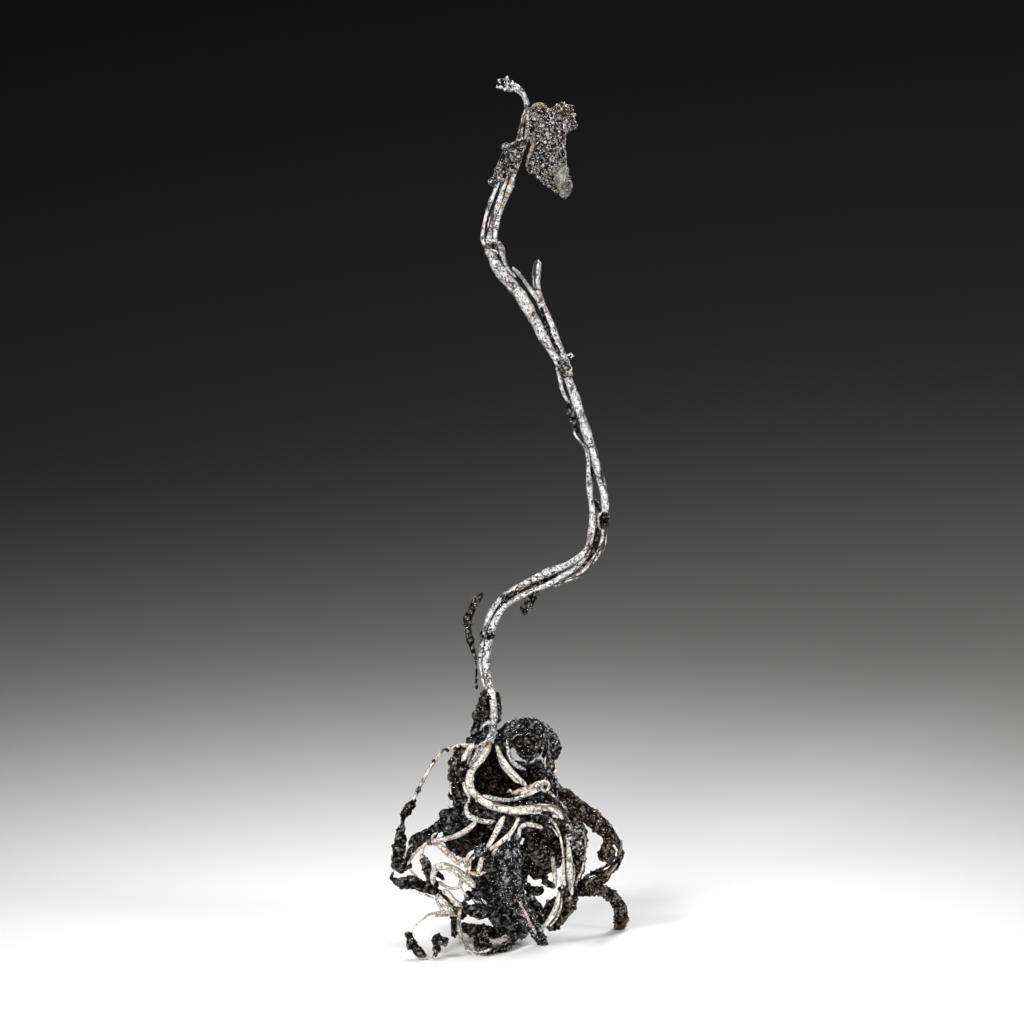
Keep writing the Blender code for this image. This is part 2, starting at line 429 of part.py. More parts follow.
def fuse(body, other):
    """Join two overlapping solids into one with a Boolean union."""
    union = body.modifiers.new("fuse", "BOOLEAN")
    union.operation = "UNION"
    union.solver = "EXACT"
    union.object = other
    evaluated = body.evaluated_get(bpy.context.evaluated_depsgraph_get())
    mesh = bpy.data.meshes.new_from_object(evaluated)
    body.modifiers.clear()
    old = body.data
    body.data = mesh
    bpy.data.meshes.remove(old)
    bpy.data.objects.remove(other, do_unlink=True)


def trim_at_floor(body):
    """Cut a foot off flat where it would reach below the floor."""
    foot = bmesh.new()
    foot.from_mesh(body.data)
    everything = foot.verts[:] + foot.edges[:] + foot.faces[:]
    cut = bmesh.ops.bisect_plane(foot, geom=everything, dist=WELD, plane_co=(0, 0, 0),
                                 plane_no=(0, 0, -1), clear_outer=True)
    rim = [part for part in cut["geom_cut"] if isinstance(part, bmesh.types.BMEdge)]
    bmesh.ops.edgeloop_fill(foot, edges=rim)
    bmesh.ops.recalc_face_normals(foot, faces=foot.faces)
    foot.to_mesh(body.data)
    foot.free()


def add_piece(name, finish, *wires, on_floor=False):
    """One named node: its wires, each a (route, crusted) pair, fused into a single solid."""
    solids = []
    for route, crusted in wires:
        solid = bpy.data.objects.new(name, wire_mesh(route, crusted))
        specimen.objects.link(solid)
        solids.append(solid)
    body = solids[0]
    for other in solids[1:]:
        fuse(body, other)
    if on_floor:
        trim_at_floor(body)
    body.name = name
    body.data.name = name
    body.data.materials.clear()
    body.data.materials.append(finish_material(finish))
    body.data.shade_smooth()
    body.data.set_sharp_from_angle(angle=SHARPEST_SMOOTH)
    return body


# ---------------------------------------------------------------- the specimen, region by region
def build_stem():
    add_piece("stem", "bright_silver",
              (LEFT_STRAND_TOP, False), (RIGHT_STRAND_TOP, False), (THIN_OUTER_STRAND, False),
              (STRAND_BRIDGE, False), (SIDE_STRAND, False), (TWIG_STRAND, False),
              (THIN_LEFT_STRAND, False), (SLIT_STRAND, False), (CRUST_CORE, True),
              (UPPER_TURN_STRAND, False), (SLEEVE_CRUST, True), (BAND_CRUST, True),
              (STEM_BLACK_PATCH, True), (BASE_CRUST, True))
    add_piece("top_tip", "bright_silver", (TOP_TIP, False))
    add_piece("top_clump", "grey_crust", (CLUMP_BODY, True), (CLUMP_PRONG, False),
              *[(knob, True) for knob in CLUMP_KNOBS])
    add_piece("hanging_twig", "black_crust", (HANGING_TWIG, True))
    add_piece("dark_twig", "black_crust", (DARK_TWIG, True))


def build_upper_tangle():
    add_piece("coil", "grey_crust", (COIL_TURNS, True), (COIL_KNOB, True))
    add_piece("coil_column", "grey_crust", (COIL_COLUMN, True))
    add_piece("left_arch", "black_crust", (LEFT_ARCH, True))
    add_piece("white_stub", "bright_silver", (WHITE_STUB, False))
    add_piece("white_bend_wire", "cream_silver", (WHITE_BEND_WIRE, False))
    add_piece("upper_thin_wire", "bright_silver", (UPPER_THIN_WIRE, False))
    add_piece("cream_ring_wire", "cream_silver", (CREAM_RING_WIRE, False))
    add_piece("green_white_wire", "green_silver", (GREEN_WHITE_WIRE, False), (GREEN_WHITE_TWIN, False))
    add_piece("small_arc", "bright_silver", (SMALL_ARC, False))
    add_piece("cavity_crust", "black_crust", (CAVITY_CRUST, True))
    add_piece("crust_band_wire", "black_crust", (CRUST_BAND_WIRE, True))


def build_left_tangle():
    add_piece("left_thin_wire", "black_crust", (LEFT_THIN_WIRE, True))
    add_piece("left_low_wire", "black_crust", (LEFT_LOW_WIRE, True), (LEFT_LOW_STRUT, False))
    add_piece("left_arm", "black_crust", (LEFT_ARM, True), (LEFT_ARM_STRUT, True))
    add_piece("pink_wire", "copper_silver", (PINK_WIRE, False), (PINK_KNOB, True),
              (PINK_DIAGONAL, False), (PINK_DROP, True))
    add_piece("lavender_wire", "bright_silver", (LAVENDER_WIRE, False))
    add_piece("green_cream_wire", "green_silver", (GREEN_CREAM_WIRE, False))
    add_piece("orange_wire", "copper_silver", (ORANGE_WIRE, False))
    add_piece("grey_arc", "bright_silver", (GREY_ARC, False), (CREAM_STRUT, False))
    add_piece("hair_wire", "black_crust", (HAIR_WIRE, True), on_floor=True)


def build_front_tangle():
    add_piece("centre_knot", "cream_silver", (CENTRE_KNOB, True), (CENTRE_WHITE, False),
              (CENTRE_CREAM, False), (CENTRE_RING, False))
    add_piece("arch_wire", "cream_silver", (ARCH_WIRE, False))
    add_piece("centre_crust", "black_crust", (CENTRE_CRUST, True))
    add_piece("heart_crust", "black_crust", (HEART_CRUST, True))
    add_piece("front_column", "grey_crust", (FRONT_COLUMN, True), on_floor=True)
    add_piece("middle_crust", "grey_crust", (MIDDLE_CRUST, True))
    add_piece("dark_leaf", "black_crust", (DARK_LEAF, True))
    add_piece("lower_crust", "grey_crust", (LOWER_CRUST, True))
    add_piece("lower_bar", "black_crust", (LOWER_BAR, True))
    add_piece("bottom_loop", "black_crust", (BOTTOM_LOOP, True), on_floor=True)
    add_piece("black_post", "black_crust", (BLACK_POST, True))
    add_piece("low_green_wire", "green_silver", (LOW_GREEN_WIRE, False))


def build_right_tangle():
    add_piece("right_arm", "brown_crust", (RIGHT_ARM, True), (RIGHT_HOOK, True))
    add_piece("inner_parallel_wire", "bright_silver", (INNER_PARALLEL_WIRE, False))
    add_piece("right_inner_column", "black_crust", (RIGHT_INNER_COLUMN, True))
    add_piece("inner_silver_wire", "bright_silver", (INNER_SILVER_WIRE, False))
    add_piece("cream_strand", "cream_silver", (CREAM_STRAND, False))
    add_piece("right_bridge", "brown_crust", (RIGHT_BRIDGE, True), (RIGHT_BRIDGE_RISER, False))
    add_piece("leaf_lump", "black_crust", (LEAF_LUMP, True))
    add_piece("lower_right_column", "brown_crust", (LOWER_RIGHT_COLUMN, True), (LOWER_RIGHT_BRANCH, True))
    add_piece("silver_strip", "cream_silver", (SILVER_STRIP, False))
    add_piece("yellow_green_wire", "green_silver", (YELLOW_GREEN_WIRE, True))
    add_piece("thin_black_wire", "black_crust", (THIN_BLACK_WIRE, True))
    add_piece("right_tail", "brown_crust", (RIGHT_TAIL, True), on_floor=True)


def build_rear_tangle():
    add_piece("rear_left_crust", "black_crust", (REAR_LEFT_CRUST, True))
    add_piece("rear_foot_wire", "black_crust", (REAR_FOOT_WIRE, True), on_floor=True)
    add_piece("rear_right_wire", "grey_crust", (REAR_RIGHT_WIRE, True))
    add_piece("rear_left_wire", "brown_crust", (REAR_LEFT_WIRE, True))
    add_piece("rear_cross_wire", "cream_silver", (REAR_CROSS_WIRE, False))
    add_piece("rear_top_wire", "grey_crust", (REAR_TOP_WIRE, True))
    add_piece("rear_low_wire", "black_crust", (REAR_LOW_WIRE, True))
    add_piece("rear_side_wire", "brown_crust", (REAR_SIDE_WIRE, True))
    add_piece("rear_left_branch", "black_crust", (REAR_LEFT_BRANCH, True))
    add_piece("rear_middle_wire", "bright_silver", (REAR_MIDDLE_WIRE, False))


def centre_on_base():
    """Move every node so that the origin is at the bottom centre of the whole specimen's box."""
    corners = [vert.co for node in specimen.objects for vert in node.data.vertices]
    low = Vector([min(corner[axis] for corner in corners) for axis in range(3)])
    high = Vector([max(corner[axis] for corner in corners) for axis in range(3)])
    shift = Vector(((low.x + high.x) / 2, (low.y + high.y) / 2, low.z))
    for node in specimen.objects:
        for vert in node.data.vertices:
            vert.co -= shift


clear_objects()
specimen = new_collection("native_silver")
build_stem()
build_upper_tangle()
build_left_tangle()
build_front_tangle()
build_right_tangle()
build_rear_tangle()
centre_on_base()
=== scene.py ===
import math
import random

import bpy
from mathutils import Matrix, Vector, kdtree


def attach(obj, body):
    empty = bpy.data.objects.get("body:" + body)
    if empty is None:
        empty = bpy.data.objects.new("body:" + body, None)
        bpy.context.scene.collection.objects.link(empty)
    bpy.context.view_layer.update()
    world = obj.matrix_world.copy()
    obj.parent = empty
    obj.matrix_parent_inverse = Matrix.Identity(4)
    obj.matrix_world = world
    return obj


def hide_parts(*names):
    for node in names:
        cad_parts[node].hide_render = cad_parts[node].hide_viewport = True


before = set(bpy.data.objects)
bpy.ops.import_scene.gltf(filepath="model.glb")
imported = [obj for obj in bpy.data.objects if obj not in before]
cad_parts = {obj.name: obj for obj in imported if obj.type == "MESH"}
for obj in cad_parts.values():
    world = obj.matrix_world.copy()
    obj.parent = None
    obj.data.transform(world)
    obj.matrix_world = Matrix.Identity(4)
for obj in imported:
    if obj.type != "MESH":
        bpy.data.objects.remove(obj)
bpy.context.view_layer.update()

print("frame loaded:", len(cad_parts), "nodes")

# The specimen is drawn on an upright sheet that leans 10 degrees towards the viewer. A point of a
# route is (across, down, depth, radius) in tenths of a millimetre, and depth grows to the back.
sheet = {
    "unit": 0.0001,              # one unit of the sheet in metres
    "middle": 508.5,             # sheet position of the middle of the specimen
    "floor": 946.1,              # sheet position of the floor at depth 0
    "lean": math.radians(10),
    "shift": (0.453, 3.547),     # from the sheet's middle to the middle of the CAD box, in units
}


def place(across, down, depth):
    # the point of the room where a point of the sheet lies, in metres
    up = ((sheet["floor"] - down) - depth * math.sin(sheet["lean"])) / math.cos(sheet["lean"])
    x = across - sheet["middle"] - sheet["shift"][0]
    y = depth - sheet["shift"][1]
    return Vector((x, y, up)) * sheet["unit"]


def deselectAll():
    if bpy.context.object and bpy.context.object.mode != "OBJECT":
        bpy.ops.object.mode_set(mode="OBJECT")
    bpy.ops.object.select_all(action="DESELECT")


def pick(*objects):
    deselectAll()
    for thing in objects:
        thing.select_set(True)
    bpy.context.view_layer.objects.active = objects[0]


def applyModifiers(thing):
    pick(thing)
    for modifier in list(thing.modifiers):
        bpy.ops.object.modifier_apply(modifier=modifier.name)


def smoothLine(route, step):
    # a smooth line through the route's points: list of (place, radius in metres)
    points = [place(*point[:3]) for point in route]
    radii = [point[3] * sheet["unit"] for point in route]
    line = []
    for i in range(len(points) - 1):
        before, start, end, after = (points[max(i - 1, 0)], points[i], points[i + 1],
                                     points[min(i + 2, len(points) - 1)])
        pieces = max(1, round((end - start).length / step))
        for k in range(pieces):
            t = k / pieces
            spot = 0.5 * (2 * start + (end - before) * t
                          + (2 * before - 5 * start + 4 * end - after) * t ** 2
                          + (3 * start - before - 3 * end + after) * t ** 3)
            line.append((spot, radii[i] + (radii[i + 1] - radii[i]) * t * t * (3 - 2 * t)))
    line.append((points[-1], radii[-1]))
    return line


def stretchEnds(line, reach):
    # lengthens a line straight on at its start and its end, by the two lengths of reach
    start, end = line[0], line[-1]
    if reach[0] > 0:
        way = (start[0] - line[min(3, len(line) - 1)][0]).normalized()
        line.insert(0, (start[0] + way * reach[0], start[1]))
    if reach[1] > 0:
        way = (end[0] - line[max(-4, -len(line))][0]).normalized()
        line.append((end[0] + way * reach[1], end[1]))
    return line


def roundEnds(line, roundness):
    # narrows the last stretch at both ends, so that a wire ends in a blunt point
    length = [0.0]
    for i in range(1, len(line)):
        length.append(length[-1] + (line[i][0] - line[i - 1][0]).length)
    result = []
    for (spot, radius), along in zip(line, length):
        gap = min(along, length[-1] - along)
        share = min(1.0, gap / max(radius * roundness, 1e-9))
        result.append((spot, radius * max(0.12, math.sqrt(1 - (1 - share) ** 2))))
    return result


def addNode(tree, kind, settings=None, inputs=None):
    # a node with its settings, and its inputs by name or number: a value or another node's output
    node = tree.nodes.new(kind)
    for name, value in (settings or {}).items():
        setattr(node, name, value)
    for key, value in (inputs or {}).items():
        if isinstance(value, bpy.types.NodeSocket):
            tree.links.new(value, node.inputs[key])
        else:
            node.inputs[key].default_value = value
    return node


def newTree(kind, name, inputs, outputs):
    # a node group with its named inputs and outputs, each given as (name, socket type)
    tree = bpy.data.node_groups.new(name, kind)
    for side, sockets in (("INPUT", inputs), ("OUTPUT", outputs)):
        for label, socket in sockets:
            tree.interface.new_socket(label, in_out=side, socket_type=socket)
    return tree, addNode(tree, "NodeGroupInput"), addNode(tree, "NodeGroupOutput")


def newShapeTree(name, numbers=()):
    # a geometry node group with a shape going in and out, and one input for each named number
    shape = [("Geometry", "NodeSocketGeometry")]
    return newTree("GeometryNodeTree", name, shape + list(numbers), shape)


def readAttribute(tree, name, kind="FLOAT"):
    reader = addNode(tree, "GeometryNodeInputNamedAttribute", {"data_type": kind}, {"Name": name})
    return reader.outputs[0]


def storeAttribute(tree, shape, name, value, kind="FLOAT"):
    return addNode(tree, "GeometryNodeStoreNamedAttribute", {"data_type": kind, "domain": "POINT"},
                   {"Geometry": shape, "Name": name, "Value": value}).outputs[0]


def smoothShade(tree, shape, smooth=True):
    return addNode(tree, "GeometryNodeSetShadeSmooth", {},
                   {"Geometry": shape, "Shade Smooth": smooth}).outputs[0]


def moveAlongNormal(tree, shape, distance):
    push = addNode(tree, "ShaderNodeVectorMath", {"operation": "SCALE"},
                   {0: addNode(tree, "GeometryNodeInputNormal").outputs[0], "Scale": distance})
    return addNode(tree, "GeometryNodeSetPosition", {},
                   {"Geometry": shape, "Offset": push.outputs[0]}).outputs[0]


def joinShapes(tree, shapes, end):
    whole = addNode(tree, "GeometryNodeJoinGeometry")
    for shape in reversed(shapes):
        tree.links.new(shape, whole.inputs[0])
    tree.links.new(whole.outputs[0], end.inputs[0])


def calculate(tree, operation, a, b):
    return addNode(tree, "ShaderNodeMath", {"operation": operation}, {0: a, 1: b}).outputs[0]


def plus(tree, a, b):
    return calculate(tree, "ADD", a, b)


def minus(tree, a, b):
    return calculate(tree, "SUBTRACT", a, b)


def times(tree, a, b):
    return calculate(tree, "MULTIPLY", a, b)


def spread(tree, value, low, high, toLow=0.0, toHigh=1.0):
    # value carried from low..high to toLow..toHigh, and kept inside them
    return addNode(tree, "ShaderNodeMapRange", {"clamp": True},
                   {0: value, 1: low, 2: high, 3: toLow, 4: toHigh}).outputs[0]


def noise(tree, vector, size, detail=3.0, roughness=0.6):
    texture = addNode(tree, "ShaderNodeTexNoise", {},
                      {"Vector": vector, "Scale": 1 / size, "Detail": detail, "Roughness": roughness})
    return texture.outputs[0]


# The number that a grain carries, by which its material knows it. The body under it carries 0.
grainKinds = {"knob": 0.3, "bead": 0.6, "crystal": 1.0}


def randomNumber(tree, low, high, seed):
    return addNode(tree, "FunctionNodeRandomValue", {"data_type": "FLOAT"},
                   {2: low, 3: high, "Seed": seed}).outputs[1]


def randomVector(tree, low, high, seed):
    return addNode(tree, "FunctionNodeRandomValue", {"data_type": "FLOAT_VECTOR"},
                   {0: (low, low, low), 1: (high, high, high), "Seed": seed}).outputs[0]


def scatter(tree, body, shape, perSquare, seed, sizes, kind):
    # grains of random size and turn over a body, as real faces
    spots = addNode(tree, "GeometryNodeDistributePointsOnFaces", {"distribute_method": "RANDOM"},
                    {"Mesh": body, "Density": perSquare, "Seed": seed}).outputs[0]
    spots = storeAttribute(tree, spots, "shine", randomNumber(tree, 0.0, 1.0, 9))
    turn = randomVector(tree, 0, 6.28, 1)
    form = randomVector(tree, 0.75, 1.2, 3)
    size = randomNumber(tree, sizes[0], sizes[1], 5)
    scale = addNode(tree, "ShaderNodeVectorMath", {"operation": "SCALE"}, {0: form, "Scale": size})
    copies = addNode(tree, "GeometryNodeInstanceOnPoints", {},
                     {"Points": spots, "Instance": shape, "Rotation": turn,
                      "Scale": scale.outputs[0]}).outputs[0]
    real = addNode(tree, "GeometryNodeRealizeInstances", {}, {"Geometry": copies}).outputs[0]
    real = storeAttribute(tree, real, "grain", grainKinds[kind])
    return smoothShade(tree, real, kind == "knob")


# What the bare silver's strands look like. Lengths in metres, the rest as a share of the radius.
strandLook = {
    "rim": 16,                 # points round a strand
    "step": 0.00024,           # distance between two rings
    "endRoundness": 1.3,       # over how many radii an end narrows
    "ridges": 2.4,             # how many ridges run along a strand
    "ridgeLength": 0.0015,
    "ridgeHeight": 0.50,
    "dentSize": 0.00030,
    "dentDepth": 0.70,
    "coreShare": 0.96,         # radius of the core when wires lie along it
    "wireShare": 0.42,         # radius of a wire along the core
    "wireEdge": 1.03,          # how far out a wire's outer edge lies
    "sway": (0.45, 800),       # how far a wire sways to and fro, and how fast along its length
    "swell": (0.10, 1700),     # the same for its thickness
    "grooveReach": 0.00008,    # how near another strand must lie for the painted shade of a groove
    "grooveShare": 0.25,       # and the most that this may be of a strand's radius
    "grooveDepth": 1.25,       # how dark that painted shade is where the strands touch
    "crumbSizes": (0.00003, 0.00008),    # half the width of a crumb on the silver
    "crumbsPerSquare": 6.0,    # crumbs on one square millimetre
    "crumbCluster": 0.0007,
}


def makeStrandTree(look):
    # lines with thickness, turn and along become ridged strands
    tree, start, end = newShapeTree("strandRelief")
    thickness = readAttribute(tree, "thickness")
    position = addNode(tree, "GeometryNodeInputPosition").outputs[0]
    curve = addNode(tree, "GeometryNodeMeshToCurve", {}, {"Mesh": start.outputs[0]})
    tilted = addNode(tree, "GeometryNodeSetCurveTilt", {},
                     {"Curve": curve.outputs[0], "Tilt": readAttribute(tree, "turn")})
    ring = addNode(tree, "GeometryNodeCurvePrimitiveCircle", {},
                   {"Resolution": look["rim"], "Radius": 1.0})
    profile = storeAttribute(tree, ring.outputs[0], "rim", position, "FLOAT_VECTOR")
    tube = addNode(tree, "GeometryNodeCurveToMesh", {},
                   {"Curve": tilted.outputs[0], "Profile Curve": profile, "Scale": thickness,
                    "Fill Caps": True})
    along = calculate(tree, "DIVIDE", readAttribute(tree, "along"), look["ridgeLength"])
    along = addNode(tree, "ShaderNodeCombineXYZ", {}, {"Z": along})
    way = addNode(tree, "ShaderNodeVectorMath", {"operation": "MULTIPLY_ADD"},
                  {0: readAttribute(tree, "rim", "FLOAT_VECTOR"),
                   1: (look["ridges"], look["ridges"], 0), 2: along.outputs[0]})
    ridge = noise(tree, way.outputs[0], 1.0, 2.5)
    dent = noise(tree, position, look["dentSize"])
    height = plus(tree, times(tree, minus(tree, ridge, 0.5), look["ridgeHeight"]),
                  times(tree, minus(tree, dent, 0.5), look["dentDepth"]))
    moved = moveAlongNormal(tree, tube.outputs[0], times(tree, height, thickness))
    body = smoothShade(tree, storeAttribute(tree, moved, "relief", spread(tree, height, -0.16, 0.16)))
    crumb = addNode(tree, "GeometryNodeMeshIcoSphere", {}, {"Radius": 1.0, "Subdivisions": 1})
    cluster = noise(tree, position, look["crumbCluster"], 1.0, 0.5)
    many = times(tree, spread(tree, cluster, 0.35, 0.65), 1e6 * look["crumbsPerSquare"])
    crumbs = scatter(tree, body, crumb.outputs[0], many, 5, look["crumbSizes"], "crystal")
    joinShapes(tree, [body, crumbs], end)
    return tree


# What the crust looks like. Lengths in metres.
crustLook = {
    "rim": 14,                          # points round a plain body
    "step": 0.0002,
    "endRoundness": 1.0,
    "voxel": 0.00008,                   # the coarsest faces of a body when it is fused
    "swell": (0.0011, 0.00018),         # size and height of the slow swelling
    "bead": (0.00058, 0.00015),         # the round beads that the crust is made of
    "granule": (0.00026, 0.00006),
    "slim": 0.00003,                    # how much thinner the body is under its knobs
    "lumpGap": (0.7, 1.5),              # way from one lump at the side to the next, in radii
    "lumpSize": (0.38, 0.6),
    "lumpReach": 1.1,                   # how far out a lump's outer edge lies
    "knobSizes": (0.00010, 0.00021),    # half the width of a round knob on top
    "knobsPerSquare": 3.2,              # knobs on one square millimetre
    "beadSizes": (0.00005, 0.00010),
    "beadsPerSquare": 8.0,
    "crystalSizes": (0.00004, 0.00007),
    "crystalsPerSquare": 4.0,
}


def makeBodyTree(look):
    # lines with a thickness become plain round bodies
    tree, start, end = newShapeTree("crustBody")
    curve = addNode(tree, "GeometryNodeMeshToCurve", {}, {"Mesh": start.outputs[0]})
    ring = addNode(tree, "GeometryNodeCurvePrimitiveCircle", {},
                   {"Resolution": look["rim"], "Radius": 1.0})
    tube = addNode(tree, "GeometryNodeCurveToMesh", {},
                   {"Curve": curve.outputs[0], "Profile Curve": ring.outputs[0],
                    "Scale": readAttribute(tree, "thickness"), "Fill Caps": True})
    tree.links.new(tube.outputs[0], end.inputs[0])
    return tree


def makeCrustTree(look):
    # a closed body gets beads and granules, and grains all over it except where it is bare
    number = "NodeSocketFloat"
    tree, start, end = newShapeTree("crustRelief", [
        ("Grains", number), ("Seed", "NodeSocketInt"), ("Coarse", number), ("Sparkle", number),
        ("Knobs", number)])
    position = addNode(tree, "GeometryNodeInputPosition").outputs[0]
    covered = minus(tree, 1.0, readAttribute(tree, "bare"))

    def domes(size, height):
        spot = addNode(tree, "ShaderNodeTexVoronoi", {"feature": "F1"},
                       {"Vector": position, "Scale": 1 / size}).outputs["Distance"]
        return times(tree, minus(tree, 0.5, times(tree, spot, spot)), height * 1.6)

    swell = noise(tree, position, look["swell"][0], 1.0, 0.5)
    swell = times(tree, minus(tree, swell, 0.5), look["swell"][1] * 2)
    fine = plus(tree, domes(*look["bead"]), domes(*look["granule"]))
    relief = spread(tree, fine, look["bead"][1] * 0.1, look["bead"][1] + look["granule"][1] * 0.6)
    rise = minus(tree, plus(tree, swell, fine), look["bead"][1] * 0.5)
    strength = times(tree, spread(tree, covered, 0.0, 1.0, 0.25, 1.0), start.outputs["Coarse"])
    body = moveAlongNormal(tree, start.outputs[0], times(tree, rise, strength))
    body = smoothShade(tree, storeAttribute(tree, body, "relief", relief))
    knob = addNode(tree, "GeometryNodeMeshIcoSphere", {}, {"Radius": 1.0, "Subdivisions": 2})
    ball = addNode(tree, "GeometryNodeMeshIcoSphere", {}, {"Radius": 1.0, "Subdivisions": 1})
    block = addNode(tree, "GeometryNodeMeshCube", {}, {"Size": (1.5, 1.5, 1.5)})
    share = times(tree, covered, start.outputs["Grains"])
    seed = start.outputs["Seed"]
    layers = [body]
    for kind, shape, ownSeed, many in (
            ("knob", knob, plus(tree, seed, 2000), times(tree, share, start.outputs["Knobs"])),
            ("bead", ball, seed, share),
            ("crystal", block, plus(tree, seed, 1000), times(tree, share, start.outputs["Sparkle"]))):
        layers.append(scatter(tree, body, shape.outputs[0],
                              times(tree, many, 1e6 * look[kind + "sPerSquare"]),
                              ownSeed, look[kind + "Sizes"], kind))
    joinShapes(tree, layers, end)
    return tree


def addTree(thing, tree, **values):
    modifier = thing.modifiers.new(tree.name, "NODES")
    modifier.node_group = tree
    names = {item.name: item.identifier for item in tree.interface.items_tree
             if item.in_out == "INPUT"}
    for name, value in values.items():
        modifier[names[name]] = value


def lineObject(name, lines):
    # one object of loose lines: each line is a list of dictionaries with a spot and its numbers
    spots, edges = [], []
    for line in lines:
        first = len(spots)
        spots += [point["spot"] for point in line]
        edges += [(first + i, first + i + 1) for i in range(len(line) - 1)]
    mesh = bpy.data.meshes.new(name)
    mesh.from_pydata(spots, edges, [])
    for key in lines[0][0]:
        if key != "spot":
            layer = mesh.attributes.new(key, "FLOAT", "POINT")
            layer.data.foreach_set("value", [point[key] for line in lines for point in line])
    thing = bpy.data.objects.new(name, mesh)
    bpy.context.scene.collection.objects.link(thing)
    return thing


def strandLines(route, wires, twist, reach, dice):
    # a route of bare silver: a core, and thin wires that lie along it and turn slowly round it
    look = strandLook
    line = roundEnds(stretchEnds(smoothLine(route, look["step"]), reach), look["endRoundness"])
    bundle = [(look["coreShare"] if wires else 1.0, 0.0, 0.0)]
    aim = dice.uniform(0, 6.28)
    for number in range(wires):
        share = look["wireShare"] * dice.uniform(0.8, 1.2)
        bundle.append((share, look["wireEdge"] - share,
                       aim + 6.283 * number / wires + dice.uniform(-0.4, 0.4)))
    lines = []
    for share, offset, angle in bundle:
        wobble = [dice.uniform(0, 6.28) for k in range(2)]
        side = None
        along = dice.uniform(0, 1)
        strand = []
        for i, (spot, radius) in enumerate(line):
            way = (line[min(i + 1, len(line) - 1)][0] - line[max(i - 1, 0)][0]).normalized()
            if side is None:
                side = way.cross(Vector((0.3, 0.9, 0.2))).normalized()
            side = (side - way * side.dot(way)).normalized()
            if i:
                along += (spot - line[i - 1][0]).length
            turn = angle + twist * along * 1000
            turn += look["sway"][0] * math.sin(along * look["sway"][1] + wobble[0])
            out = side * math.cos(turn) + way.cross(side) * math.sin(turn)
            thick = share * (1 + look["swell"][0] * math.sin(along * look["swell"][1] + wobble[1]))
            strand.append({"spot": spot + out * radius * offset, "thickness": radius * thick,
                           "turn": turn, "along": along})
        lines.append(strand)
    return lines


def markGrooveShade(mesh, lines):
    # marks the narrow gap where two strands lie against each other, which the silver's material darkens
    # as painted shade
    look = strandLook
    centres, radii, owners = [], [], []
    for number, line in enumerate(lines):
        for point in line:
            centres.append(point["spot"])
            radii.append(point["thickness"])
            owners.append(number)
    near = kdtree.KDTree(len(centres))
    for i, spot in enumerate(centres):
        near.insert(spot, i)
    near.balance()
    owner = [number for number in owners for k in range(look["rim"])]
    thick = [radius for radius in radii for k in range(look["rim"])]
    values = [0.0] * len(mesh.vertices)
    reach = max(radii) + look["grooveReach"]
    for i, vertex in enumerate(mesh.vertices[:len(owner)]):
        gap = 1.0
        for spot, index, far in near.find_range(vertex.co, reach):
            if owners[index] != owner[i]:
                gap = min(gap, far - radii[index])
        fade = min(look["grooveReach"], thick[i] * look["grooveShare"])
        values[i] = max(0.0, min(1.0, look["grooveDepth"] - gap / fade))
    layer = mesh.attributes.new("grooveShade", "FLOAT", "POINT")
    layer.data.foreach_set("value", values)


def crustLines(route, knobbly, reach, dice):
    # a crusted route as a line with round lumps at its sides
    look = crustLook
    line = roundEnds(stretchEnds(smoothLine(route, look["step"]), reach), look["endRoundness"])
    line = [(spot, max(radius - look["slim"], radius * 0.72)) for spot, radius in line]
    lines = [[{"spot": spot, "thickness": radius} for spot, radius in line]]
    gap = 0.0
    for i in range(1, len(line)):
        gap -= (line[i][0] - line[i - 1][0]).length
        spot, radius = line[i]
        if gap > 0 or not knobbly:
            continue
        gap = radius * dice.uniform(*look["lumpGap"]) / knobbly
        aim = Vector([dice.gauss(0, 1) for k in range(3)]).normalized()
        size = radius * dice.uniform(*look["lumpSize"])
        middle = spot + aim * (radius * look["lumpReach"] - size)
        way = Vector([dice.gauss(0, 1) for k in range(3)]).normalized() * size
        lines.append([{"spot": middle + way * t, "thickness": size * math.sqrt(1.02 - t * t)}
                      for t in (-1, -0.9, -0.6, -0.2, 0.2, 0.6, 0.9, 1)])
    return lines


def knobLine(knob):
    # a round lump of crust: (across, down, depth, radius)
    middle, radius = place(*knob[:3]), knob[3] * sheet["unit"]
    return [{"spot": middle + Vector((0, 0, radius * t)), "thickness": radius * math.sqrt(1.02 - t * t)}
            for t in (-1, -0.92, -0.7, -0.35, 0, 0.35, 0.7, 0.92, 1)]


# What a piece has where its own dictionary says nothing
usual = {
    "reach": (3, 3),       # how far a route is lengthened at its two ends, in units of the sheet
    "twist": 0.12,         # how fast the thin wires turn round the core
    "threadTwist": 0.1,
    "knobbly": 0.5,        # how many lumps a crusted route has at its sides
    "fillKnobbly": 0.6,
    "coarse": 0.65,        # height of the swelling and the beads
    "grains": 1.0,         # how many grains lie on the crust
    "sparkle": 1.0,        # how many of them are crystals
    "beads": 0.5,          # how many of them are knobs
    "spot": 0.55,          # strength of a warm or bare spot
}


def paintSpots(mesh, name, spots):
    # a number on each point: the spot's strength inside it, falling to 0 at its edge
    values = [0.0] * len(mesh.vertices)
    for across, down, depth, radius, *strength in spots:
        middle, far = place(across, down, depth), radius * sheet["unit"]
        most = strength[0] if strength else usual["spot"]
        for i, vertex in enumerate(mesh.vertices):
            gap = (vertex.co - middle).length
            if gap < far:
                values[i] = max(values[i], most * min(1.0, 2.2 * (1 - gap / far)))
    layer = mesh.attributes.new(name, "FLOAT", "POINT")
    layer.data.foreach_set("value", values)


def wiresFor(route):
    # how many thin wires lie along a route of this thickness
    thick = sum(point[3] for point in route) / len(route)
    return 0 if thick < 3.3 else 1 if thick < 4.4 else 2


trees = {"strand": makeStrandTree(strandLook), "body": makeBodyTree(crustLook),
         "crust": makeCrustTree(crustLook)}


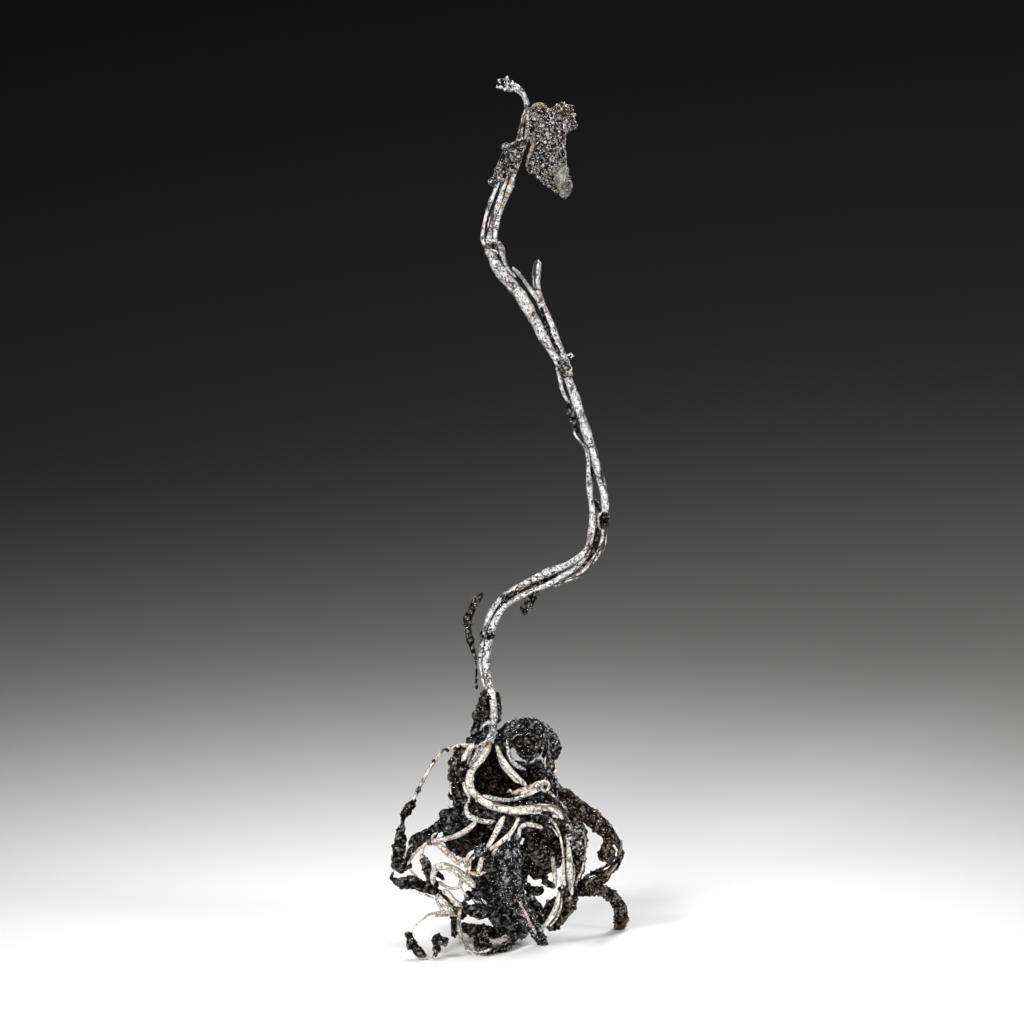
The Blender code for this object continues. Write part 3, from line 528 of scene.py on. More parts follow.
def giveMaterial(part, piece, key, kind, otherwise):
    # the piece's own look, or else the look of its slot where that is of this kind
    name = piece.get(key, piece["slot"] if kind in piece["slot"] else otherwise)
    part.data.materials.clear()
    part.data.materials.append(materials[name])


def makeSilverPart(piece, reach, dice):
    lines = []
    for route in piece.get("silver", []):
        wires = piece.get("wires", wiresFor(route))
        lines += strandLines(route, wires, piece.get("twist", usual["twist"]), reach, dice)
    for route in piece.get("threads", []):
        lines += strandLines(route, 0, usual["threadTwist"], (0, 0), dice)
    part = lineObject(piece["node"] + "_silver", lines)
    addTree(part, trees["strand"])
    applyModifiers(part)
    markGrooveShade(part.data, lines)
    paintSpots(part.data, "warm", piece.get("warm", []))
    giveMaterial(part, piece, "silverLook", "silver", "bright_silver")
    return part


def makeCrustPart(piece, reach, dice):
    lines, thinnest = [], crustLook["voxel"] / sheet["unit"] * 2
    for route in piece.get("crust", []):
        lines += crustLines(route, piece.get("knobbly", usual["knobbly"]), reach, dice)
        thinnest = min([thinnest] + [point[3] for point in route])
    for route in piece.get("fill", []):
        lines += crustLines(route, usual["fillKnobbly"], (0, 0), dice)
    lines += [knobLine(knob) for knob in piece.get("knobs", [])]
    part = lineObject(piece["node"] + "_crust", lines)
    addTree(part, trees["body"])
    applyModifiers(part)
    fuse = part.modifiers.new("fuse", "REMESH")
    fuse.mode = "VOXEL"
    fuse.voxel_size = thinnest * sheet["unit"] * 0.5
    applyModifiers(part)
    for mark in ("bare", "warm"):
        paintSpots(part.data, mark, piece.get(mark, []))
    numbers = {name.title(): piece.get(name, usual[name])
               for name in ("grains", "coarse", "sparkle")}
    addTree(part, trees["crust"], Seed=dice.randint(1, 999),
            Knobs=piece.get("beads", usual["beads"]), **numbers)
    applyModifiers(part)
    giveMaterial(part, piece, "crustLook", "crust", "black_crust")
    return part


def makePiece(piece):
    dice = random.Random(piece["node"])
    reach = [length * sheet["unit"] for length in piece.get("reach", usual["reach"])]
    parts = []
    if "silver" in piece or "threads" in piece:
        parts.append(makeSilverPart(piece, reach, dice))
    if "crust" in piece or "knobs" in piece or "fill" in piece:
        parts.append(makeCrustPart(piece, reach, dice))
    for extra in piece.get("extras", []):
        whole = {"node": piece["node"], "slot": piece["slot"], **extra}
        parts.append(makeCrustPart(whole, (0, 0), dice))
    pick(*parts)
    if len(parts) > 1:
        bpy.ops.object.join()
    surface = bpy.context.view_layer.objects.active
    surface.name = piece["node"] + "_surface"
    for name in ("thickness", "turn", "along", "rim"):
        if name in surface.data.attributes:
            surface.data.attributes.remove(surface.data.attributes[name])
    for vertex in surface.data.vertices:
        vertex.co.z = max(vertex.co.z, 0.0)     # the feet are flat where they stand
    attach(surface, "root")
    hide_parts(piece["node"])
    print("made", surface.name, len(surface.data.polygons), "faces")


def blend(tree, share, a, b):
    # colour a where share is 0, colour b where it is 1
    return addNode(tree, "ShaderNodeMix", {"data_type": "RGBA"}, {0: share, 6: a, 7: b}).outputs[2]


def blendNumber(tree, share, a, b):
    return addNode(tree, "ShaderNodeMix", {"data_type": "FLOAT"}, {0: share, 2: a, 3: b}).outputs[0]


# Sizes of the markings on silver and crust, in metres, and the colours that all looks share
silverMarks = {
    "cloud": 0.0009, "pit": 0.00021, "stain": 0.0007, "mottle": 0.00030, "rust": 0.0004,
    "grit": 0.00011, "bump": 0.00006,
    "rustColour": (0.52, 0.27, 0.09, 1),
}
crustMarks = {
    "drift": 0.0011, "cloud": 0.0014, "tone": 0.00045, "rust": 0.00035, "fleck": 0.00034,
    "speck": 0.00030, "grit": 0.00013, "bump": 0.00006,
    "bareLight": (0.86, 0.80, 0.70, 1), "bareDark": (0.20, 0.13, 0.08, 1),
}


def makeTarnishAndShadeTree(marks):
    # how dark the silver is painted: painted shade in the grooves between strands, tarnish and painted
    # shade in the hollows, and tarnish in small pits
    number = "NodeSocketFloat"
    tree, start, end = newTree("ShaderNodeTree", "tarnishAndShade",
                               [("Place", "NodeSocketVector"), ("GrooveShade", number),
                                ("Relief", number), ("Amount", number)],
                               [("Mask", number), ("Stain", number)])
    where, grooveShade, relief, amount = start.outputs[:4]
    cloud = noise(tree, where, marks["cloud"])
    # the hollows: tarnish, and painted shade where the relief is low
    hollowTarnishAndShade = spread(tree, minus(tree, cloud, relief), 0.12, 0.34)
    fine = noise(tree, where, marks["pit"], 2.0, 0.5)
    thick = spread(tree, noise(tree, where, marks["cloud"], 1.0), 0.35, 0.65, 0.59, 0.49)
    pits = spread(tree, minus(tree, fine, thick), -0.01, 0.05)
    # painted shade where another strand lies close, broken by fine noise
    deep = spread(tree, plus(tree, grooveShade, times(tree, fine, 0.5)), 0.55, 0.72)
    whole = calculate(tree, "MAXIMUM", calculate(tree, "MAXIMUM", deep, hollowTarnishAndShade), pits)
    tree.links.new(times(tree, whole, amount), end.inputs["Mask"])
    brown = plus(tree, noise(tree, where, marks["stain"]), times(tree, grooveShade, 0.2))
    tree.links.new(times(tree, spread(tree, brown, 0.55, 0.66), amount), end.inputs["Stain"])
    return tree


def makeGritTree(marks):
    # fine roughness: the height of tiny granules, and a slow cloud over them
    number = "NodeSocketFloat"
    tree, start, end = newTree("ShaderNodeTree", "grit",
                               [("Place", "NodeSocketVector"), ("Size", number)],
                               [("Height", number), ("Cloud", number)])
    where, size = start.outputs[:2]
    scale = calculate(tree, "DIVIDE", 1.0, size)
    cells = addNode(tree, "ShaderNodeTexVoronoi", {"feature": "F1"}, {"Vector": where, "Scale": scale})
    fine = addNode(tree, "ShaderNodeTexNoise", {},
                   {"Vector": where, "Scale": times(tree, scale, 1.7), "Detail": 3.0}).outputs[0]
    height = minus(tree, fine, times(tree, cells.outputs["Distance"], 0.8))
    tree.links.new(height, end.inputs["Height"])
    tree.links.new(noise(tree, where, marks["cloud"]), end.inputs["Cloud"])
    return tree


lookTrees = {"tarnishAndShade": makeTarnishAndShadeTree(silverMarks), "grit": makeGritTree(crustMarks)}
materials = {}


def startMaterial(name):
    # a new material, its tree, its shader and the places on the piece
    material = bpy.data.materials.new(name)
    material.use_nodes = True
    tree = material.node_tree
    materials[name] = material
    return tree, tree.nodes["Principled BSDF"], addNode(tree, "ShaderNodeTexCoord").outputs["Object"]


def readMark(tree, name):
    return addNode(tree, "ShaderNodeAttribute", {"attribute_name": name}).outputs["Fac"]


def placeGroup(tree, name, inputs):
    return addNode(tree, "ShaderNodeGroup", {"node_tree": lookTrees[name]}, inputs)


def addBump(tree, shader, height, strength, distance):
    bump = addNode(tree, "ShaderNodeBump", {},
                   {"Strength": strength, "Distance": distance, "Height": height})
    tree.links.new(bump.outputs[0], shader.inputs["Normal"])


def makeSilver(name, look):
    tree, shader, where = startMaterial(name)
    marks = silverMarks
    warm = readMark(tree, "warm")
    tarnishAndShade = placeGroup(tree, "tarnishAndShade", {"Place": where, "GrooveShade": readMark(tree, "grooveShade"),
                                           "Relief": readMark(tree, "relief"), "Amount": look["tarnishAndShade"]})
    mask = tarnishAndShade.outputs["Mask"]
    mottle = spread(tree, noise(tree, where, marks["mottle"], 2.0), 0.46, 0.60)
    colour = blend(tree, mottle, look["light"], look["shade"])
    colour = blend(tree, times(tree, tarnishAndShade.outputs["Stain"], 0.7), colour, look["stain"])
    rust = spread(tree, plus(tree, warm, noise(tree, where, marks["rust"], 2.0)), 0.90, 1.10)
    rust = times(tree, rust, spread(tree, warm, 0.0, 0.3))
    colour = blend(tree, times(tree, rust, 0.85), colour, marks["rustColour"])
    # tarnish and painted shade darken the colour: painted shade in the grooves and hollows, tarnish in
    # the hollows and pits
    colour = blend(tree, times(tree, mask, 0.97), colour, look["dark"])
    # painted shade: the silver's colour turns dark towards its outline, by the angle it is seen at
    edgeShade = addNode(tree, "ShaderNodeLayerWeight", {}, {"Blend": 0.5}).outputs["Facing"]
    colour = blend(tree, spread(tree, edgeShade, 0.45, 0.95, 0.0, 0.75), colour, look["dark"])
    shine = readMark(tree, "shine")
    crumb = blend(tree, spread(tree, shine, 0.50, 0.55), look["dark"], look["light"])
    crumb = blend(tree, spread(tree, shine, 0.88, 0.92), crumb, look["stain"])
    colour = blend(tree, times(tree, readMark(tree, "grain"), 0.95), colour, crumb)
    tree.links.new(colour, shader.inputs["Base Color"])
    tree.links.new(spread(tree, mask, 0, 1, 0.24, 0.55), shader.inputs["Roughness"])
    tree.links.new(spread(tree, mask, 0, 1, look["metal"], 0.1), shader.inputs["Metallic"])
    grit = placeGroup(tree, "grit", {"Place": where, "Size": marks["grit"]})
    addBump(tree, shader, grit.outputs["Height"], 0.9, marks["bump"])


def makeCrust(name, look):
    tree, shader, where = startMaterial(name)
    marks = crustMarks
    grain, shine = readMark(tree, "grain"), readMark(tree, "shine")
    bare, warm = readMark(tree, "bare"), readMark(tree, "warm")
    grit = placeGroup(tree, "grit", {"Place": where, "Size": marks["grit"]})
    speck = noise(tree, where, marks["speck"], 2.0)
    brown = times(tree, spread(tree, grit.outputs["Cloud"], 0.50, 0.64), look["brownShare"])

    # which grains are pale: some knobs, some beads and some crystals
    isKnob = spread(tree, grain, 0.1, 0.2)
    isBead = spread(tree, grain, 0.4, 0.5)
    isCrystal = spread(tree, grain, 0.7, 0.9)
    pale = None
    for kind, paleFrom, width in ((minus(tree, isKnob, isBead), "knobPaleFrom", 0.1),
                                  (minus(tree, isBead, isCrystal), "beadPaleFrom", 0.12),
                                  (isCrystal, "paleFrom", 0.12)):
        paleKind = times(tree, kind, spread(tree, shine, look[paleFrom], look[paleFrom] + width))
        pale = paleKind if pale is None else calculate(tree, "MAXIMUM", pale, paleKind)

    # how light a place is painted, from its relief, its flecks and a slow drift: on the body low relief
    # is painted shade in the hollows and high relief painted highlight on the tops, while the flecks and
    # the drift are random tone
    fleck = spread(tree, noise(tree, where, marks["fleck"], 2.0), 0.36, 0.66)
    height = blendNumber(tree, isKnob, spread(tree, readMark(tree, "relief"), 0.15, 0.95), shine)
    paintedLightAndTone = plus(tree, times(tree, height, 0.45), times(tree, fleck, 0.55))
    drift = spread(tree, noise(tree, where, marks["drift"], 1.0), 0.35, 0.65, -0.12, 0.10)
    paintedLightAndTone = plus(tree, paintedLightAndTone, drift)
    high = blend(tree, brown, look["high"], look["brown"])
    lit = blend(tree, brown, look["lit"], look["brownLit"])
    colour = blend(tree, spread(tree, paintedLightAndTone, 0.34, 0.58), look["deep"], high)
    colour = blend(tree, spread(tree, paintedLightAndTone, 0.58, 0.74), colour, lit)
    tone = blend(tree, noise(tree, where, marks["tone"]), look["pale"], look["paleDim"])
    colour = blend(tree, pale, colour, tone)

    # rust spots, and spots where bare silver shows
    rust = spread(tree, plus(tree, warm, noise(tree, where, marks["rust"], 2.0)), 0.95, 1.15)
    rust = times(tree, rust, spread(tree, warm, 0.0, 0.3))
    rustTone = blend(tree, pale, look["rust"], look["paleRust"])
    # the rust, too, is painted lighter on the tops and darker in the hollows
    rustTone = blend(tree, spread(tree, paintedLightAndTone, 0.35, 0.70), look["brown"], rustTone)
    colour = blend(tree, times(tree, rust, 0.9), colour, rustTone)
    bareSilver = blend(tree, spread(tree, speck, 0.45, 0.7), marks["bareLight"], marks["bareDark"])
    silverShare = spread(tree, plus(tree, bare, times(tree, speck, 1.6)), 1.30, 1.50)
    silverShare = times(tree, silverShare, spread(tree, bare, 0.02, 0.3))
    tree.links.new(blend(tree, silverShare, colour, bareSilver), shader.inputs["Base Color"])

    rough = spread(tree, speck, 0.35, 0.65, look["gloss"], look["gloss"] + 0.10)
    tree.links.new(blendNumber(tree, pale, rough, 0.22), shader.inputs["Roughness"])
    metal = calculate(tree, "MAXIMUM", pale, times(tree, silverShare, 0.8))
    tree.links.new(times(tree, metal, look["metal"]), shader.inputs["Metallic"])
    gleam = spread(tree, paintedLightAndTone, 0.30, 0.60, 0.01, look["gleam"])
    tree.links.new(gleam, shader.inputs["Specular IOR Level"])
    addBump(tree, shader, grit.outputs["Height"], 1.0, marks["bump"])


makeSilver("bright_silver", {
    "light": (0.94, 0.94, 0.96, 1), "shade": (0.38, 0.38, 0.39, 1), "stain": (0.34, 0.18, 0.09, 1),
    "dark": (0.006, 0.005, 0.004, 1), "metal": 0.45, "tarnishAndShade": 1,
})
makeSilver("cream_silver", {
    "light": (0.97, 0.93, 0.86, 1), "shade": (0.58, 0.49, 0.39, 1), "stain": (0.5, 0.24, 0.09, 1),
    "dark": (0.007, 0.005, 0.003, 1), "metal": 0.34, "tarnishAndShade": 0.85,
})
makeSilver("green_silver", {
    "light": (0.92, 0.92, 0.84, 1), "shade": (0.52, 0.51, 0.38, 1), "stain": (0.32, 0.28, 0.09, 1),
    "dark": (0.007, 0.006, 0.003, 1), "metal": 0.3, "tarnishAndShade": 0.8,
})
makeSilver("copper_silver", {
    "light": (0.93, 0.84, 0.8, 1), "shade": (0.55, 0.4, 0.34, 1), "stain": (0.42, 0.16, 0.06, 1),
    "dark": (0.008, 0.005, 0.003, 1), "metal": 0.3, "tarnishAndShade": 0.75,
})
makeSilver("dull_green_silver", {
    "light": (0.36, 0.37, 0.34, 1), "shade": (0.15, 0.15, 0.12, 1), "stain": (0.34, 0.21, 0.06, 1),
    "dark": (0.007, 0.006, 0.003, 1), "metal": 0.4, "tarnishAndShade": 0.8,
})
# In each crust look, deep is the painted shade of the hollows and the dark flecks, high the middle tone,
# and lit the painted highlight on the tops and the light flecks.
makeCrust("grey_crust", {
    "metal": 0.9, "deep": (0.005, 0.005, 0.0055, 1), "high": (0.06, 0.06, 0.064, 1),
    "lit": (0.24, 0.24, 0.25, 1), "brownLit": (0.16, 0.12, 0.09, 1), "pale": (0.9, 0.91, 0.95, 1),
    "paleDim": (0.22, 0.22, 0.23, 1), "paleFrom": 0.3, "beadPaleFrom": 0.76,
    "brown": (0.036, 0.022, 0.014, 1), "brownShare": 0.4, "knobPaleFrom": 0.9, "gloss": 0.16,
    "gleam": 0.6, "rust": (0.1, 0.042, 0.016, 1), "paleRust": (0.6, 0.4, 0.24, 1),
})
makeCrust("black_crust", {
    "metal": 0.9, "deep": (0.002, 0.0018, 0.0017, 1), "high": (0.026, 0.023, 0.02, 1),
    "lit": (0.13, 0.12, 0.11, 1), "brownLit": (0.12, 0.085, 0.055, 1),
    "pale": (0.88, 0.88, 0.88, 1), "paleDim": (0.16, 0.15, 0.13, 1), "paleFrom": 0.4,
    "beadPaleFrom": 0.84, "brown": (0.034, 0.018, 0.01, 1), "brownShare": 0.6, "knobPaleFrom": 0.93,
    "gloss": 0.13, "gleam": 0.55, "rust": (0.16, 0.06, 0.018, 1), "paleRust": (0.65, 0.42, 0.2, 1),
})
makeCrust("brown_crust", {
    "metal": 0.9, "deep": (0.003, 0.0024, 0.0018, 1), "high": (0.036, 0.028, 0.02, 1),
    "lit": (0.12, 0.1, 0.075, 1), "brownLit": (0.13, 0.085, 0.045, 1), "pale": (0.82, 0.7, 0.52, 1),
    "paleDim": (0.16, 0.12, 0.08, 1), "paleFrom": 0.4, "beadPaleFrom": 0.82,
    "brown": (0.045, 0.026, 0.012, 1), "brownShare": 0.7, "knobPaleFrom": 0.93, "gloss": 0.16,
    "gleam": 0.55, "rust": (0.3, 0.105, 0.02, 1), "paleRust": (0.6, 0.26, 0.07, 1),
})
makeCrust("glitter_crust", {
    "metal": 0.6, "deep": (0.01, 0.009, 0.009, 1), "high": (0.08, 0.076, 0.074, 1),
    "lit": (0.25, 0.24, 0.23, 1), "brownLit": (0.26, 0.18, 0.12, 1), "pale": (0.95, 0.95, 0.98, 1),
    "paleDim": (0.34, 0.32, 0.31, 1), "paleFrom": 0.15, "beadPaleFrom": 0.46,
    "brown": (0.085, 0.05, 0.03, 1), "brownShare": 0.75, "knobPaleFrom": 0.5, "gloss": 0.18,
    "gleam": 0.6, "rust": (0.16, 0.075, 0.03, 1), "paleRust": (0.8, 0.55, 0.34, 1),
})
makeCrust("silver_popcorn", {
    "metal": 0.35, "deep": (0.01, 0.01, 0.011, 1), "high": (0.42, 0.43, 0.46, 1),
    "lit": (0.85, 0.87, 0.92, 1), "brownLit": (0.5, 0.42, 0.36, 1), "pale": (0.95, 0.96, 0.99, 1),
    "paleDim": (0.7, 0.72, 0.76, 1), "paleFrom": 0.05, "beadPaleFrom": 0.3,
    "brown": (0.1, 0.08, 0.07, 1), "brownShare": 0.3, "knobPaleFrom": 0.35, "gloss": 0.22,
    "gleam": 0.5, "rust": (0.3, 0.18, 0.09, 1), "paleRust": (0.8, 0.65, 0.45, 1),
})
makeCrust("jet_crust", {
    "metal": 0.9, "deep": (0.001, 0.001, 0.0012, 1), "high": (0.01, 0.01, 0.013, 1),
    "lit": (0.05, 0.05, 0.06, 1), "brownLit": (0.05, 0.035, 0.025, 1), "pale": (0.7, 0.74, 0.84, 1),
    "paleDim": (0.16, 0.17, 0.2, 1), "paleFrom": 0.5, "beadPaleFrom": 0.92,
    "brown": (0.014, 0.009, 0.006, 1), "brownShare": 0.3, "knobPaleFrom": 0.93, "gloss": 0.06,
    "gleam": 1, "rust": (0.1, 0.04, 0.012, 1), "paleRust": (0.55, 0.33, 0.15, 1),
})
makeCrust("shade_crust", {
    "metal": 0.9, "deep": (0.001, 0.0009, 0.0008, 1), "high": (0.01, 0.008, 0.006, 1),
    "lit": (0.05, 0.036, 0.024, 1), "brownLit": (0.07, 0.042, 0.022, 1),
    "pale": (0.7, 0.66, 0.6, 1), "paleDim": (0.1, 0.09, 0.08, 1), "paleFrom": 0.7,
    "beadPaleFrom": 0.95, "brown": (0.024, 0.013, 0.007, 1), "brownShare": 0.7,
    "knobPaleFrom": 0.97, "gloss": 0.16, "gleam": 0.35, "rust": (0.16, 0.06, 0.018, 1),
    "paleRust": (0.65, 0.42, 0.2, 1),
})
print("materials made:", len(materials))


stem = {
    "node": "stem", "slot": "bright_silver", "sparkle": 1.5, "beads": 0.35, "grains": 0.8,
    "silver": [
        [(526, 111, 28, 2), (522.5, 121, 26, 2.3), (520.5, 133, 26, 2.4), (518, 146, 27, 2.8),
         (513, 158, 26, 3), (508, 172, 25, 3), (503, 190, 22, 3.4), (497.5, 206, 21, 3.5),
         (492, 220, 20, 3.5), (489.5, 232, 19, 3.4), (488.5, 243, 19, 3.6), (490.5, 252, 19, 5.6),
         (495.5, 264, 19, 6.4), (502, 273, 20, 6.4), (511, 284, 20, 6.3), (519.5, 295, 21, 6.3),
         (526.5, 306, 21, 6.2), (532, 316, 21, 6), (538, 327, 22, 5.6), (544.5, 339, 22, 5.2),
         (551, 350, 23, 5), (558, 360, 24, 4.8), (564, 370, 24, 5), (569, 381, 24, 5),
         (574, 394, 24, 4.8), (579, 409, 25, 4.7), (584, 424, 26, 4.7), (589, 440, 27, 4.7),
         (594, 455, 28, 4.4), (598, 470, 29, 4.2), (602, 485, 30, 4.2), (605, 498, 30, 4),
         (605.5, 512, 30, 4.2), (605, 524, 30, 4.2), (603.5, 536, 29, 3.8), (602, 547, 28, 3.6),
         (597, 556, 27, 3.4), (591, 564, 26, 3), (582, 573.5, 24, 2.8), (569, 580, 22, 2.4),
         (556, 585, 20, 2)],
        [(527, 108, 30, 2.8), (527.5, 120, 31, 2.5), (527, 132, 31, 2.4), (525, 143, 30, 2.8),
         (520, 154, 28, 3.4), (517, 165, 26, 3.4), (513, 178, 25, 3), (509, 190, 23, 3.3),
         (504, 202, 22, 3.2), (499.5, 214, 21, 3), (496, 228, 21, 2.9), (495, 241, 20, 2.8),
         (500, 250, 19, 2.4), (504, 260, 18, 2.2), (508, 270, 18, 2), (514, 276, 18, 1.7)],
        [(501, 176, 21, 2), (496, 190, 18, 2), (491, 202, 16, 2), (486.5, 216, 15, 1.9),
         (483.5, 229, 14, 1.9), (482.5, 240, 14, 1.9), (485, 247, 15, 1.7)],
        [(518, 149, 28, 2.2), (523, 145, 29, 2.4), (528, 140, 30, 2)],
        [(514, 270, 15, 1.6), (520, 276, 16, 2), (527, 285.5, 16, 2.2), (533, 293.5, 17, 2.2),
         (537.5, 300.5, 19, 1.9)],
        [(538, 262.5, 22, 3.4), (536.8, 269, 22, 3.8), (536, 279, 23, 4.4), (537, 292, 24, 4.6),
         (541, 304, 24, 4.1), (547, 316, 24, 4), (552, 328, 24, 4), (556, 340, 24, 4),
         (561, 351, 24, 4), (565, 361, 24, 4), (568, 372, 24, 3.5)],
        [(557, 368, 23, 2), (560, 380, 23, 1.9), (562, 390, 23, 1.8), (567, 400, 24, 1.8),
         (573, 410, 25, 1.7)],
        [(586, 446, 26, 1.9), (588, 458, 26, 2), (588.5, 471, 26, 2.4), (589.3, 484, 26, 2.9),
         (590.5, 497, 27, 3), (592.5, 508, 28, 3.5), (593.2, 520, 28, 3.9), (591.5, 533, 27, 3.9),
         (588.8, 546, 26, 3.6), (583, 559, 24, 2.9), (574, 569, 22, 2.8), (562, 577, 20, 2.7),
         (549, 584, 19, 2.7), (535, 590, 17, 2.7), (521, 596, 14, 2.8), (509, 603, 11, 2.9),
         (501, 611, 9, 3), (495, 621, 7, 3.3), (490, 634, 6, 4.1), (487, 648, 5, 4.4),
         (486, 662, 4, 4.4), (487, 675, 3, 4.2), (490, 688, 0, 4), (493, 701, -3, 4),
         (494, 714, -4, 4), (493, 726, -5, 3.7), (491, 737, -6, 3.3)],
        [(590, 545, 25, 2.4), (583, 554, 23, 3), (574, 561, 21, 3.3), (562, 567, 19, 3.5),
         (549, 572, 17, 4.1), (538, 577, 15, 3.9), (526, 583, 13, 3.4), (514, 590, 11, 3.2),
         (503, 597, 9, 3.2), (494, 607, 7, 3), (488, 619, 5, 2.6), (484, 632, 4, 2.2),
         (481.5, 647, 3, 2), (480, 660, 3, 2), (481, 673, 3, 2), (485, 686, 2, 2)]],
    "crust": [
        [(596, 502, 28, 2.6), (598, 512, 28, 3.4), (598.5, 524, 28, 3.6), (598, 537, 28, 3.4),
         (595, 549, 27, 2.6)],
        [(569, 404, 24, 2.6), (571, 413, 24, 3.6), (574, 424, 25, 3.2), (578, 434, 26, 2.2)],
        [(485, 692, 1, 4), (484, 702, 1, 5.6), (481, 713, 0, 5.8), (479, 723, -1, 6.2),
         (477, 733, -2, 7.4), (476, 742, 0, 5.6), (478, 749, 4, 4.4)]],
    "threads": [
        [(480, 731.5, -10, 1.1), (482, 727.5, -11, 1.4), (485.5, 724.3, -12, 1.5),
         (489.5, 723.6, -12, 1.5), (493, 725.8, -11, 1.5), (495, 729.5, -9, 1.2)],
        [(495.5, 736, -12, 1.3), (490, 739.5, -14, 1.5), (484, 743, -14, 1.4), (478, 746, -13, 1.2),
         (474, 748.5, -12, 1)],
        [(491.5, 732, -10, 2.4), (489.5, 736.5, -12, 2.8), (487.5, 740, -12, 2.2)],
        [(486.5, 748, -13, 0.8), (480, 756, -17, 0.9), (475, 766, -19, 0.8)],
        [(483.5, 748, -12, 0.8), (477.5, 756, -15, 0.9), (471.5, 766, -17, 0.8)],
        [(480, 748, -11, 0.8), (475, 756, -14, 0.9), (469, 766, -15, 0.8)],
        [(484.5, 255, 13, 1.2), (488.5, 251.5, 12, 1.6), (494, 251.5, 12, 1.6),
         (498.5, 255, 14, 1.3)],
        [(485.5, 240, 13, 1.5), (491, 241.5, 12, 1.8), (497.5, 243.5, 12, 1.8),
         (502.5, 248.5, 13, 1.8), (504, 256, 14, 1.6), (505, 263, 15, 1.2)],
        [(487, 694, -3, 1.2), (490, 697, -4, 1.3), (492, 699, -4, 1)],
        [(564, 358, 18, 1.2), (568, 355, 17, 1.2), (571, 354, 17, 1.1), (573, 356, 17, 1.1),
         (570, 358, 17, 1)],
        [(574, 431, 22, 1.2), (576, 436, 21, 1.2), (580, 441, 21, 1.25), (584, 446, 22, 1.2),
         (587, 450, 24, 1.2)],
        [(602, 512, 25, 1.2), (599, 517, 24, 1.2), (599, 525, 24, 1.2), (601, 530, 25, 1)]],
    "fill": [
        [(495, 692, 0, 3.4), (497.5, 702, 0, 3.6), (498, 713, 0, 3.8), (497.5, 724, 0, 3.4)],
        [(485, 695, 4, 5.4), (485, 704, 4, 6.4), (483, 714, 3, 7.4), (481, 724, 2, 6.6)],
        [(486, 728, 0, 6), (480, 735, -1, 7.6), (474, 739, -1, 6), (484, 739, 0, 7)],
        [(481, 752, -8, 5.4), (477, 761, -10, 5.4), (473, 769, -10, 4.4)],
        [(541, 305, 22, 2.4), (545, 318, 22, 2.6), (549, 331, 22, 2.6), (556, 345, 22, 2.6),
         (560, 355, 22, 2.6)],
        [(498, 188, 24, 2.6), (491, 203, 23, 2.6), (487, 217, 22, 2.6), (485, 232, 21, 2.4)],
        [(505, 190, 27, 3), (499, 205, 26, 3), (494, 221, 25, 3), (492, 237, 24, 3),
         (498, 252, 23, 3), (505, 267, 23, 3)],
        [(586, 438, 29, 2.4), (590, 452, 30, 2.8), (592, 466, 30, 2.8), (593, 478, 30, 2.4)],
        [(598, 506, 32, 2.8), (597.5, 522, 32, 3.2), (596, 538, 31, 3.2), (593, 552, 30, 3.4),
         (585, 563, 28, 3.6), (574, 571, 26, 3.4), (562, 576, 24, 3.4), (549, 580, 22, 3.2),
         (536, 586, 20, 3), (522, 592, 17, 3), (509, 598, 14, 2.8), (499, 607, 12, 2.8),
         (492, 618, 10, 2.8), (487, 632, 9, 2.8), (484, 648, 8, 2.8), (483, 663, 7, 2.8),
         (484, 677, 6, 2.8), (487, 689, 4, 2.8)]],
    "knobs": [(487.5, 247, 14, 2.2), (492, 247.3, 14, 2.4), (496.5, 248.5, 14, 2.4),
              (504, 599, 6, 2.2), (508, 596, 6, 2.4), (512, 593.5, 7, 2.4), (516, 592, 8, 2),
              (485.5, 635, -1, 3.4), (490, 637, -1, 3.4), (545, 329, 19, 1.8), (548, 334, 19, 1.8),
              (532.6, 314.6, 16, 1.5), (604.8, 515.5, 26, 3.4), (605.3, 521, 25.5, 3.9),
              (605.2, 526.5, 26, 3.6), (483, 635, 2, 3.4), (487, 636.5, -2, 3.6),
              (491.5, 636, 0, 3.2), (490, 698, -4, 3.2), (494.5, 697, -3, 2.6),
              (486.5, 728.5, -10, 3.6), (476, 716, -1, 4.6), (478, 722, -2, 4.6),
              (482, 700, -2, 4.4), (481, 708, -2, 4.6), (485, 714, -4, 4), (468.5, 741, -3, 3.6),
              (475, 733, -5, 4.6), (482, 735, -7, 4.4), (472, 741, -6, 4.2), (480, 742, -8, 3.8),
              (497, 722, -3, 2.8), (498, 705, -3, 2.6)],
    "warm": [(523, 116, 25, 5), (521, 128, 24, 5), (524, 140, 26, 5), (515, 172, 22, 5, 0.8),
             (511.5, 184, 21, 5, 0.8), (507.5, 197, 20, 5, 0.8), (503, 208, 19, 5, 0.7),
             (497, 214, 19, 4), (526, 282.5, 14, 4), (592, 560, 25, 5), (578, 571, 20, 5),
             (559, 574, 16, 5), (545, 579, 14, 5), (520, 588, 8, 5), (489, 745, -12, 5),
             (531, 314, 16, 5), (590, 486, 24, 3), (574, 402, 20, 4), (494, 637, 1, 5)],
    "extras": [{
        "crustLook": "glitter_crust", "sparkle": 1.6, "coarse": 0.5, "beads": 0.25, "grains": 1.6,
        "crust": [
            [(519, 146, 24, 5.4), (512, 154, 22, 8.8), (507.5, 165, 21.5, 9.4),
             (502.5, 175, 20.5, 9), (498, 183.5, 19, 7)],
            [(520, 140, 26, 3), (517, 148, 24, 5)],
            [(520, 144, 25, 3.6), (519, 152, 24, 4.8), (516.5, 161, 23, 5), (513, 170, 22, 4.6)]],
        "fill": [
            [(559, 356, 24, 5), (562, 363, 24, 7.4), (565.5, 371, 24, 7.6), (569, 379, 24, 5.6)]],
        "knobs": [(493, 183, 19, 4.6), (506, 149, 22, 4.4), (511, 170, 20, 6)],
